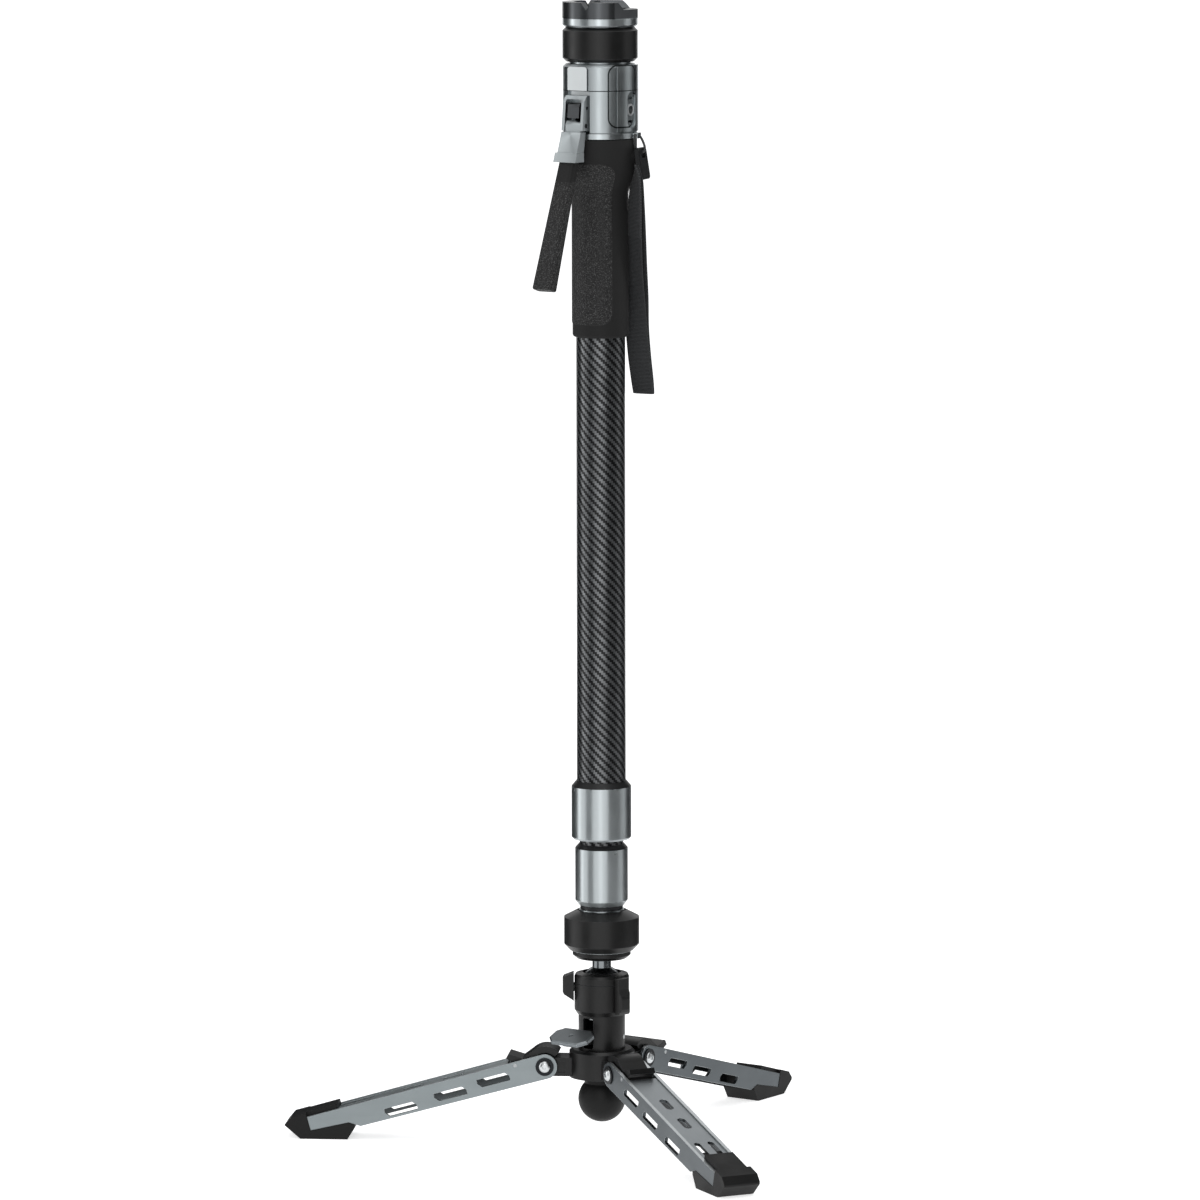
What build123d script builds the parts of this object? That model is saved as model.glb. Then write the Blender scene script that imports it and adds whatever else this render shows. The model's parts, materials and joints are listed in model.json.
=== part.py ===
from build123d import *
import math
import os

os.makedirs("parts", exist_ok=True)

# Camera monopod standing closed on its three-legged base. Millimetres, +Z up.
# The origin is the floor point straight below the column.
# Azimuths are in degrees from +X towards +Y, so the front is -90.

# Shared fits and overruns
fixed_fit = 0.05
running_fit = 0.06
free_gap = 0.3
overrun = 2.0

# Azimuths of what stands out of the column
leg_azimuths = {"left": 175.17, "front": 295.17, "back": 55.17}
lever_azimuth = -127.0
port_azimuth = -33.0
strap_azimuth = -20.0
tilt_knob_azimuth = 180.0
pan_knob_azimuth = -50.0

# Hub and the rubber ball foot
hub_radius = 21.5
hub_bottom = 43.0
hub_height = 19.0
hub_top = hub_bottom + hub_height
hub_rim_chamfer = 1.8
hub_socket_depth = 9.0
hub_socket_floor = hub_bottom + hub_socket_depth
foot_ball_radius = 15.6
foot_ball_drop = 30.6
foot_ball_bottom = hub_bottom - foot_ball_drop
foot_neck_radius = 11.5
foot_neck_height = 6.0
foot_stud_radius = 6.0
foot_stud_length = 6.5

# Leg hinges
hinge_reach = 15.3
hinge_radius = hub_radius + hinge_reach
hinge_rise = 7.65
hinge_height = hub_bottom + hinge_rise
lug_half_width = 9.6
lug_barrel_radius = 8.0
lug_bottom_rise = 1.0
lug_bottom = hub_bottom + lug_bottom_rise
lug_top_rise = 13.2
lug_top = hub_bottom + lug_top_rise
lug_panel_depth = 0.8
lug_panel_gap = 2.1
lug_panel_start = hub_radius + lug_panel_gap
lug_panel_margin = 0.4
lug_panel_end = hinge_radius - lug_barrel_radius - lug_panel_margin
lug_panel_height = 7.6
hinge_pin_radius = 2.5
hinge_head_radius = 3.9
hinge_head_height = 1.8
hinge_socket_radius = 1.5
hinge_socket_depth = 0.9
washer_radius = 6.0
washer_thickness = 0.7

# Legs
leg_length = 162.0
leg_tip_height = 7.63
leg_slope = math.degrees(math.asin((hinge_height - leg_tip_height) / leg_length))
leg_tip_radial = hinge_radius + leg_length * math.cos(math.radians(leg_slope))
leg_end_radius = 8.2
leg_plate = 2.4
leg_side_gap = 0.4
leg_half_width = lug_half_width + leg_side_gap + leg_plate
leg_web = 2.2
leg_top_at_tip = 7.2
leg_tongue_length = 26.0
leg_tongue_start = leg_length - leg_tongue_length
leg_tongue_bottom = -3.2
leg_tongue_end_bottom = -2.0
leg_notch_length = 33.0
leg_notch_start = leg_length - leg_notch_length
leg_notch_bottom = -7.6
web_start = 24.5
rail_width = 2.6
rail_height = 0.8
side_slot_first = 35.3
side_slot_last_back = 62.0
side_slot_height = 5.6
side_slot_slant = 2.6
side_slot_share = 0.34
side_slot_places = [(0.0, 0.0), (0.465, -1.8), (1.0, -3.3)]
pocket_length = 15.0
pocket_width = 5.6
pocket_shares = [0.273, 0.476]
end_slot_length = 24.0
end_slot_width = 4.2
end_slot_back = 32.5
end_slot_centre = leg_length - end_slot_back
end_slot_offset = 4.8

# Rubber feet
foot_side_cover = 0.25
foot_half_width = leg_half_width + foot_side_cover
foot_pad_length = 21.0
foot_pad_start = leg_length - foot_pad_length
foot_pad_thickness = 3.8
foot_inner_back = 30.0
foot_inner_radius = leg_tip_radial - foot_inner_back
foot_inner_height = 8.0
foot_flat_back = 25.0
foot_flat_start = leg_tip_radial - foot_flat_back
foot_flat_front = 6.5
foot_flat_end = leg_tip_radial + foot_flat_front
foot_nose_reach = 17.0
foot_nose_radius = leg_tip_radial + foot_nose_reach
foot_nose_height = 9.0
foot_nose_top_reach = 12.5
foot_nose_top_radius = leg_tip_radial + foot_nose_top_reach
foot_nose_top_height = 14.4
foot_corner_fillet = 1.8

# Leg latches
latch_side_gap = 0.6
latch_half_width = lug_half_width - latch_side_gap
latch_pivot_along = 18.8
latch_pivot_height = 5.8
latch_pin_radius = 1.2
latch_hook_reach = 4.9
latch_outer_radius = lug_barrel_radius + latch_hook_reach
latch_hook_angle = 150.0
latch_shoulder_angle = 62.0
latch_dip_along = 13.2
latch_dip_height = 8.6
latch_tab_along = 21.4
latch_tab_height = 13.8
latch_tab_thickness = 2.6
latch_tab_root_height = 8.9
latch_eye_radius = 2.7

# Pedestal tube between the hub and the ball head
pedestal_radius = 15.4
pedestal_wall = 3.0
pedestal_bore = pedestal_radius - pedestal_wall
pedestal_height = 29.5
pedestal_top = hub_top + pedestal_height
pedestal_slot_width = 8.2
pedestal_slot_bottom_rise = 1.2
pedestal_slot_corner = 1.2
pedestal_slot_bottom = hub_top + pedestal_slot_bottom_rise
pedestal_slot_top_rise = 21.4
pedestal_slot_top = hub_top + pedestal_slot_top_rise

# Foot pedal and the clamp piston under the ball
pedal_pivot_radial = -5.2
pedal_pivot_rise = 8.0
pedal_pivot_height = hub_top + pedal_pivot_rise
pedal_pin_radius = 1.6
pedal_arm_half_width = 3.8
pedal_arm_thickness = 5.0
pedal_eye_radius = 4.6
pedal_plate_reach = 17.6
pedal_plate_radial = pedestal_radius + pedal_plate_reach
pedal_plate_rise = 11.6
pedal_plate_height = hub_top + pedal_plate_rise
pedal_plate_length = 18.0
pedal_plate_width = 31.0
pedal_plate_thickness = 2.5
pedal_plate_tilt = 22.0
pedal_plate_corner = 5.0
pedal_mark_radius = 1.6
pedal_mark_depth = 0.5
piston_side_gap = 0.6
piston_radius = pedestal_bore - piston_side_gap
piston_thickness = 4.0
piston_stem_radius = 3.2
pedal_spring_radial = 4.0
pedal_spring_radius = 3.6
pedal_spring_wire = 0.5
pedal_spring_turns = 5

# Ball head
ball_centre_rise = 40.7
ball_centre = hub_top + ball_centre_rise
ball_radius = 14.6
ball_gap = 0.3
housing_cavity_gap = 0.3
housing_wall = 1.4
housing_bottom_drop = 3.1
housing_bottom = ball_centre - ball_radius - housing_bottom_drop
housing_shoulder_rise = 7.3
housing_shoulder = ball_centre + housing_shoulder_rise
housing_rim_rise = 9.1
housing_rim_height = ball_centre + housing_rim_rise
housing_lip_rise = 10.3
housing_lip_height = ball_centre + housing_lip_rise
housing_base_step = 0.7
housing_base_radius = pedestal_radius + housing_base_step
housing_base_chamfer = 3.0
housing_seam_rise = 2.9
housing_seam_height = ball_centre + housing_seam_rise
housing_seam_depth = 0.35
cup_inner_gap = 0.15
cup_thickness = 1.55
housing_cavity_radius = ball_radius + cup_inner_gap + cup_thickness + housing_cavity_gap
housing_radius = housing_cavity_radius + housing_wall
housing_rim_step = 0.8
housing_rim_radius = housing_radius - housing_rim_step
housing_lip_gap = 2.4
housing_lip_radius = math.sqrt(ball_radius**2 - housing_lip_rise**2) + housing_lip_gap
piston_ball_gap = 2.1
piston_top = ball_centre - ball_radius - piston_ball_gap
cup_low_angle = 20.0
cup_high_angle = 65.0
stem_radius = 6.15
disc_gap = 5.1
disc_bottom = ball_centre + ball_radius + disc_gap
disc_cone_height = 2.2
disc_step = disc_bottom + disc_cone_height
disc_height = 4.7
disc_top = disc_bottom + disc_height
disc_radius = 19.1
disc_cone_run = 2.6
disc_bottom_radius = disc_radius - disc_cone_run
disc_bore = 5.0
stud_length = 14.6
stud_top = disc_bottom + stud_length

# Knobs on the ball head
knob_gap = 0.4
knob_shank_radius = 3.0
knob_shank_gap = 0.3
knob_shank_inner = housing_cavity_radius + knob_shank_gap
tilt_knob_length = 7.8
tilt_knob_reach = housing_radius + tilt_knob_length
tilt_knob_half_width = 4.5
tilt_knob_bottom_drop = 8.8
tilt_knob_bottom = ball_centre - tilt_knob_bottom_drop
tilt_knob_low_drop = 3.9
tilt_knob_low_corner = ball_centre - tilt_knob_low_drop
tilt_knob_high_rise = 7.1
tilt_knob_high_corner = ball_centre + tilt_knob_high_rise
tilt_knob_top_rise = 9.9
tilt_knob_top = ball_centre + tilt_knob_top_rise
pan_knob_length = 6.6
pan_knob_reach = housing_radius + pan_knob_length
pan_knob_waist_length = 4.6
pan_knob_waist = housing_radius + pan_knob_waist_length
pan_knob_half_width = 4.4
pan_knob_bottom_drop = 15.7
pan_knob_bottom = ball_centre - pan_knob_bottom_drop
pan_knob_low_drop = 13.1
pan_knob_low_corner = ball_centre - pan_knob_low_drop
pan_knob_high_drop = 4.1
pan_knob_high_corner = ball_centre - pan_knob_high_drop
pan_knob_waist_rise = 0.9
pan_knob_waist_height = ball_centre + pan_knob_waist_rise
pan_knob_top_rise = 8.1
pan_knob_top = ball_centre + pan_knob_top_rise
pan_knob_axis_drop = 3.7
pan_knob_axis = ball_centre - pan_knob_axis_drop
knob_edge_chamfer = 1.0

# Column tubes: each slides in the next
inner_tube_radius = 12.6
inner_tube_wall = 1.2
inner_tube_bore = inner_tube_radius - inner_tube_wall
mid_tube_gap = 0.6
mid_tube_bore = inner_tube_radius + mid_tube_gap
mid_tube_wall = 1.1
mid_tube_radius = mid_tube_bore + mid_tube_wall
outer_tube_gap = 0.6
outer_tube_bore = mid_tube_radius + outer_tube_gap
outer_tube_wall = 1.1
outer_tube_radius = outer_tube_bore + outer_tube_wall

# Quick-release ring at the foot of the column
receiver_radius = 20.0
receiver_gap = 0.4
receiver_bottom = disc_top + receiver_gap
receiver_height = 22.5
receiver_top = receiver_bottom + receiver_height
receiver_collar_wall = 2.4
receiver_collar_radius = inner_tube_radius + receiver_collar_wall
receiver_collar_height = 5.0
receiver_collar_top = receiver_top + receiver_collar_height
ring_wall = 4.7
ring_radius = receiver_radius + ring_wall
ring_bottom_rise = 0.4
ring_bottom = receiver_bottom + ring_bottom_rise
ring_low_cone = 4.0
ring_low_shoulder = ring_bottom + ring_low_cone
ring_high_rise = 21.9
ring_high_shoulder = ring_bottom + ring_high_rise
ring_height = 26.5
ring_top = ring_bottom + ring_height
ring_mouth_gap = 1.0
ring_top_radius = receiver_collar_radius + ring_mouth_gap
ring_foot_wall = 1.0
ring_bottom_radius = receiver_radius + ring_foot_wall

# Collars at the tube ends
mid_collar_wall = 3.0
mid_collar_radius = mid_tube_radius + mid_collar_wall
mid_collar_gap = 2.9
mid_collar_bottom = receiver_collar_top + mid_collar_gap
mid_collar_low_step = 2.4
mid_collar_low_radius = mid_collar_radius - mid_collar_low_step
mid_collar_low_cone = 3.3
mid_collar_full_bottom = mid_collar_bottom + mid_collar_low_cone
mid_collar_full_rise = 37.9
mid_collar_full_top = mid_collar_bottom + mid_collar_full_rise
mid_collar_height = 40.6
mid_collar_top = mid_collar_bottom + mid_collar_height
mid_collar_lip = 0.6
mid_collar_top_radius = mid_tube_radius + mid_collar_lip
outer_collar_wall = 3.6
outer_collar_radius = outer_tube_radius + outer_collar_wall
outer_collar_gap = 3.3
outer_collar_bottom = mid_collar_top + outer_collar_gap
outer_collar_low_step = 1.4
outer_collar_low_radius = outer_collar_radius - outer_collar_low_step
outer_collar_low_cone = 1.4
outer_collar_full_bottom = outer_collar_bottom + outer_collar_low_cone
outer_collar_full_rise = 35.0
outer_collar_full_top = outer_collar_bottom + outer_collar_full_rise
outer_collar_height = 38.6
outer_collar_top = outer_collar_bottom + outer_collar_height
outer_collar_lip = 0.6
outer_collar_top_radius = outer_tube_radius + outer_collar_lip
collar_pin_radius = 0.8
collar_pin_depth = 1.2
outer_pin_azimuth = -153.0
outer_pin_drop = 5.4
outer_pin_height = outer_collar_top - outer_pin_drop
mid_pin_azimuth = -58.0
mid_pin_drop = 4.5
mid_pin_height = mid_collar_top - mid_pin_drop
seal_nose_length = 2.4
seal_nose_wall = 1.4
seal_nose_radius = inner_tube_radius + seal_nose_wall

# Lengths of the column tubes
outer_tube_seat = 4.2
outer_tube_bottom = outer_collar_bottom + outer_tube_seat
outer_tube_length = 460.4
outer_tube_top = outer_tube_bottom + outer_tube_length
mid_tube_seat = 6.1
mid_tube_bottom = mid_collar_bottom + mid_tube_seat
mid_tube_top_drop = 38.4
mid_tube_top = outer_tube_top - mid_tube_top_drop
inner_tube_seat = 12.5
inner_tube_bottom = receiver_bottom + inner_tube_seat
inner_tube_top_drop = 22.0
inner_tube_top = mid_tube_top - inner_tube_top_drop
guide_flange = 6.0
guide_spigot = 14.0
guide_wall = 2.9
guide_bore = inner_tube_bore - guide_wall

# Hand grip
grip_wall = 2.3
grip_radius = outer_tube_radius + grip_wall
grip_top_drop = 3.9
grip_top = outer_tube_top - grip_top_drop
grip_length = 129.5
grip_bottom = grip_top - grip_length
grip_flare_start_drop = 36.5
grip_flare_start = grip_top - grip_flare_start_drop
grip_flare_end_drop = 19.5
grip_flare_end = grip_top - grip_flare_end_drop
grip_flare_wall = 7.9
grip_flare_radius = outer_tube_radius + grip_flare_wall
grip_edge_fillet = 2.0

# Strap ring
strap_ring_wall = 8.0
strap_ring_radius = outer_tube_radius + strap_ring_wall
strap_ring_gap = 0.3
strap_ring_bottom = grip_top + strap_ring_gap
strap_ring_height = 3.6
strap_ring_top = strap_ring_bottom + strap_ring_height
strap_lug_length = 3.0
strap_lug_reach = strap_ring_radius + strap_lug_length
strap_lug_half_width = 3.2
strap_eye_radius = 1.25
strap_eye_reach = 1.2
strap_eye_radial = strap_ring_radius + strap_eye_reach

# Head body and cap
head_radius = 24.3
head_gap = 0.2
head_bottom = strap_ring_top + head_gap
head_seam_rise = 27.4
head_seam = head_bottom + head_seam_rise
head_seam_gap = 0.1
head_cap_rise = 44.4
head_cap_top = head_bottom + head_cap_rise
head_cap_chamfer = 1.9
head_bore = 10.0
head_spigot_length = 30.6
head_spigot_bottom = head_bottom - head_spigot_length
head_spigot_bore = 8.0
panel_height_proud = 0.5
panel_half_width = 18.1
panel_bottom_rise = 1.0
panel_bottom = head_bottom + panel_bottom_rise
panel_top_drop = 0.6
panel_top = head_cap_top - panel_top_drop
panel_corner = 5.0
label_half_width = 7.8
label_bottom_drop = 18.6
label_bottom = head_cap_top - label_bottom_drop
label_top_drop = 1.4
label_top = head_cap_top - label_top_drop
label_proud = 0.5
label_reach = head_radius + label_proud
label_corner = 2.0
cap_bore = 12.0
cap_roof_drop = 5.0
cap_roof = head_cap_top - cap_roof_drop

# Accessory port
port_rise = 14.9
port_height = head_bottom + port_rise
port_recess_width = 9.6
port_recess_height = 24.0
port_recess_depth = 1.1
port_recess_floor = head_radius - port_recess_depth
port_insert_radius = 4.0
port_insert_depth = 9.3
port_insert_inner = head_radius - port_insert_depth
port_insert_sink = 0.7
port_insert_face = head_radius - port_insert_sink
port_thread_radius = 2.6
port_thread_depth = 7.0
port_slot_offset = 7.6
port_slot_width = 1.7
port_slot_length = 5.2
port_slot_depth = 2.5

# Lever bracket, squeeze lever, lock toggle
bracket_seat_depth = 3.1
bracket_seat = head_radius - bracket_seat_depth
bracket_half_width = 8.5
bracket_wall = 2.1
bracket_bottom_rise = 2.0
bracket_bottom = head_bottom + bracket_bottom_rise
bracket_top_drop = 2.8
bracket_top = head_seam - bracket_top_drop
bracket_top_proud = 1.3
bracket_top_reach = head_radius + bracket_top_proud
bracket_knee_drop = 6.6
bracket_knee_height = head_seam - bracket_knee_drop
bracket_knee_proud = 4.3
bracket_knee_reach = head_radius + bracket_knee_proud
bracket_foot_proud = 6.1
bracket_foot_reach = head_radius + bracket_foot_proud
bracket_bridge = 2.4
lever_pivot_reach = 2.1
lever_pivot_radial = head_radius + lever_pivot_reach
lever_pivot_rise = 3.2
lever_pivot_height = bracket_bottom + lever_pivot_rise
lever_pin_radius = 1.5
lever_eye_radius = 3.2
lever_side_gap = 0.3
lever_block_margin = 0.7
lever_block_half_width = bracket_half_width - lever_block_margin
lever_block_top_drop = 0.8
lever_block_top = bracket_bottom - lever_block_top_drop
lever_block_bottom_drop = 20.0
lever_block_bottom = bracket_bottom - lever_block_bottom_drop
lever_block_top_inner_gap = 1.3
lever_block_top_inner = head_radius + lever_block_top_inner_gap
lever_block_top_outer_gap = 7.1
lever_block_top_outer = head_radius + lever_block_top_outer_gap
lever_block_low_inner_gap = 4.9
lever_block_bottom_inner = head_radius + lever_block_low_inner_gap
lever_block_low_outer_gap = 13.5
lever_block_bottom_outer = head_radius + lever_block_low_outer_gap
lever_band_height = 6.0
lever_band_proud = 1.1
lever_tang_thickness = 3.0
lever_tang_half_width = 4.0
lever_tip_drop = 101.6
lever_tip_height = bracket_bottom - lever_tip_drop
lever_tip_reach = 36.2
lever_tip_radial = head_radius + lever_tip_reach
lever_tang_tip_share = 0.86
lever_grip_top_thickness = 7.4
lever_grip_tip_thickness = 8.4
lever_grip_top_half_width = 6.2
lever_grip_tip_half_width = 7.9
lever_grip_fillet = 2.6
lever_nose_inner = 5.5
lever_nose_half_width = 3.5
lever_nose_rise = 0.2
lever_nose_bottom = lever_pivot_height + lever_nose_rise
lever_nose_depth = 2.6
lever_nose_top = lever_nose_bottom + lever_nose_depth
nose_slot_side_gap = 0.7
nose_slot_half_width = lever_nose_half_width + nose_slot_side_gap
nose_slot_low_gap = 4.4
nose_slot_bottom = lever_nose_bottom - nose_slot_low_gap
nose_slot_high_gap = 3.8
nose_slot_top = lever_nose_top + nose_slot_high_gap
toggle_pivot_reach = 1.1
toggle_pivot_radial = head_radius + toggle_pivot_reach
toggle_pivot_drop = 8.0
toggle_pivot_height = bracket_top - toggle_pivot_drop
toggle_pin_radius = 1.1
toggle_radius = 3.4
toggle_half_width = 4.6
toggle_tail_drop = 6.4
toggle_tail_height = toggle_pivot_height - toggle_tail_drop
toggle_tail_proud = 4.9
toggle_tail_reach = head_radius + toggle_tail_proud

# Release rod inside the column
rod_radius = 3.5
rod_foot_drop = 106.6
rod_bottom = head_bottom - rod_foot_drop
rod_top_rise = 25.4
rod_top = head_bottom + rod_top_rise
rod_flange_radius = 9.0
rod_flange_gap = 0.3
rod_flange_bottom = lever_nose_top + rod_flange_gap
rod_flange_thickness = 2.0

# Lock band, flange and claw at the top
core_radius = 20.0
band_proud = 0.15
band_radius = head_radius + band_proud
band_gap = 1.4
band_bottom = head_cap_top + band_gap
band_low_cone = 2.3
band_low_shoulder = band_bottom + band_low_cone
band_high_rise = 20.1
band_high_shoulder = band_bottom + band_high_rise
band_height = 22.2
band_top = band_bottom + band_height
band_end_wall = 2.2
band_end_radius = core_radius + band_end_wall
core_gap = 0.1
core_bottom = head_cap_top + core_gap
flange_gap = 0.4
flange_bottom = band_top + flange_gap
flange_height = 5.5
flange_top = flange_bottom + flange_height
flange_edge = 1.2
claw_proud = 0.3
claw_radius = head_radius + claw_proud
claw_socket_radius = 17.0
claw_floor_rise = 1.3
claw_socket_floor = flange_top + claw_floor_rise
claw_root_rise = 5.7
claw_root = flange_top + claw_root_rise
claw_height = 10.5
claw_top = flange_top + claw_height
claw_notch_azimuths = [112.0, -112.0]
claw_notch_top_half = 3.4
claw_gap_half_angle = 38.0
claw_slope_run = 4.6
claw_facet_azimuth = -38.0
claw_facet_radial = 21.4

# Wrist strap: cord loop, buckle and webbing
cord_radius = 0.8
cord_turn = 1.2
cord_bend_gap = 0.4
buckle_reach = 5.1
buckle_radial = strap_ring_radius + buckle_reach
buckle_lean = 9.0
buckle_height = 21.0
buckle_width = 15.0
buckle_thickness = 3.2
buckle_drop = 16.3
buckle_middle = strap_ring_bottom - buckle_drop
buckle_bar = 2.4
buckle_hole_width = 7.2
buckle_hole_height = 4.6
buckle_corner = 2.4
strap_width = 15.0
strap_layer = 1.1
strap_edge_share = 0.3

# Webbing stations: drop below the strap ring, x and y of the inner layer, its facing
# and the loop's thickness
strap_stations = [
    (16.8, 23.6, -8.6, -200.0, 2.2),
    (25.8, 24.0, -8.6, -186.0, 2.4),
    (42.8, 24.0, -6.8, -166.0, 3.2),
    (62.8, 23.0, -4.0, -155.0, 4.4),
    (82.8, 22.7, -1.0, -148.0, 5.0),
    (102.8, 23.1, 2.8, -135.0, 5.0),
    (122.8, 23.3, 7.4, -112.0, 4.6),
    (142.8, 25.0, 8.4, -106.0, 3.8),
    (158.8, 26.8, 9.0, -112.0, 3.2),
    (167.3, 27.8, 9.2, -118.0, 2.4),
]


def radial_direction(azimuth):
    """Unit vector from the column outwards at an azimuth."""
    angle = math.radians(azimuth)
    return Vector(math.cos(angle), math.sin(angle), 0)


def side_plane(azimuth):
    """Upright plane through the column: local x is radial, local y is up."""
    outward = radial_direction(azimuth)
    return Plane(origin=(0, 0, 0), x_dir=outward, z_dir=outward.cross(Vector(0, 0, 1)))


def facing_plane(azimuth, radial, height):
    """Plane facing outwards at an azimuth: local x is sideways, local y is up."""
    outward = radial_direction(azimuth)
    centre = outward * radial + Vector(0, 0, height)
    return Plane(origin=centre, x_dir=Vector(0, 0, 1).cross(outward), z_dir=outward)


def leg_side_plane(azimuth):
    """Plane of a leg's side: local x runs down the leg, local y is its top side."""
    outward = radial_direction(azimuth)
    slope = math.radians(leg_slope)
    along = outward * math.cos(slope) - Vector(0, 0, math.sin(slope))
    hinge = outward * hinge_radius + Vector(0, 0, hinge_height)
    return Plane(origin=hinge, x_dir=along, z_dir=outward.cross(Vector(0, 0, 1)))


def leg_top_plane(azimuth):
    """Plane over a leg's top: local x runs down the leg, local y is across it."""
    side = leg_side_plane(azimuth)
    return Plane(origin=side.origin, x_dir=side.x_dir, z_dir=side.y_dir)


def finish(piece, name):
    """Label a finished piece and write it."""
    piece.part.label = name
    export_step(piece.part, f"parts/{name}.step")


# Rubber ball foot: a neck and a ball, with a stud up into the hub
foot_ball_centre = foot_ball_bottom + foot_ball_radius
with BuildPart() as foot_ball:
    with BuildSketch(Plane.XZ):
        with Locations((0, foot_ball_centre)):
            Circle(foot_ball_radius)
        with Locations((0, hub_bottom)):
            Rectangle(
                2 * foot_neck_radius,
                foot_neck_height + foot_ball_radius,
                align=(Align.CENTER, Align.MAX),
            )
            Rectangle(
                2 * foot_stud_radius,
                foot_stud_length,
                align=(Align.CENTER, Align.MIN),
            )
        split(bisect_by=Plane.YZ, keep=Keep.TOP)
    revolve(axis=Axis.Z)
finish(foot_ball, "foot_ball")


# Hub: a turned block with three lugs that carry the legs
with BuildPart() as base_hub:
    with BuildSketch(Plane.XY.offset(hub_bottom)):
        Circle(hub_radius)
    extrude(amount=hub_top - hub_bottom)
    chamfer(base_hub.edges().group_by(Axis.Z)[-1], length=hub_rim_chamfer)
    for azimuth in leg_azimuths.values():
        with BuildSketch(side_plane(azimuth)):
            with Locations((hinge_radius, hinge_height)):
                Circle(lug_barrel_radius)
            with Locations((0, lug_bottom)):
                Rectangle(
                    hinge_radius,
                    lug_top - lug_bottom,
                    align=(Align.MIN, Align.MIN),
                )
        extrude(amount=lug_half_width, both=True)
        lug_panel_length = lug_panel_end - lug_panel_start
        lug_panel_middle = (lug_panel_start + lug_panel_end) / 2
        lug_middle = (lug_bottom + lug_top) / 2
        for side in (-1, 1):
            cheek = side_plane(azimuth).offset(side * lug_half_width)
            with BuildSketch(cheek):
                with Locations((lug_panel_middle, lug_middle)):
                    RectangleRounded(lug_panel_length, lug_panel_height, lug_panel_depth)
            extrude(amount=-side * lug_panel_depth, mode=Mode.SUBTRACT)
        with BuildSketch(side_plane(azimuth)):
            with Locations((hinge_radius, hinge_height)):
                Circle(hinge_pin_radius + running_fit)
        extrude(amount=lug_half_width + overrun, both=True, mode=Mode.SUBTRACT)
    with BuildSketch(Plane.XY.offset(hub_socket_floor)):
        Circle(pedestal_radius + fixed_fit)
    extrude(amount=hub_top, mode=Mode.SUBTRACT)
    with BuildSketch(Plane.XY.offset(hub_bottom)):
        Circle(foot_stud_radius + fixed_fit)
    extrude(amount=foot_stud_length + fixed_fit, mode=Mode.SUBTRACT)
finish(base_hub, "base_hub")

# Hinge screws: one barrel screw through each lug, domed at both ends
screw_seat = leg_half_width + fixed_fit + washer_thickness
with BuildPart() as hinge_screws:
    for azimuth in leg_azimuths.values():
        with BuildSketch(side_plane(azimuth)):
            with Locations((hinge_radius, hinge_height)):
                Circle(hinge_pin_radius)
        extrude(amount=screw_seat, both=True)
        for side in (-1, 1):
            seat = side_plane(azimuth).offset(side * screw_seat)
            with BuildSketch(seat):
                with Locations((hinge_radius, hinge_height)):
                    Circle(hinge_head_radius)
            extrude(amount=side * hinge_head_height, taper=25)
            face = side_plane(azimuth).offset(side * (screw_seat + hinge_head_height))
            with BuildSketch(face):
                with Locations((hinge_radius, hinge_height)):
                    RegularPolygon(hinge_socket_radius, 6)
            extrude(amount=-side * hinge_socket_depth, mode=Mode.SUBTRACT)
finish(hinge_screws, "hinge_screws")

# Washers under the screw heads, two to each leg
with BuildPart() as hinge_washers:
    for azimuth in leg_azimuths.values():
        for side in (-1, 1):
            seat = side_plane(azimuth).offset(side * (leg_half_width + fixed_fit))
            with BuildSketch(seat):
                with Locations((hinge_radius, hinge_height)):
                    Circle(washer_radius)
                    Circle(hinge_pin_radius + fixed_fit, mode=Mode.SUBTRACT)
            extrude(amount=side * washer_thickness)
finish(hinge_washers, "hinge_washers")

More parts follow.
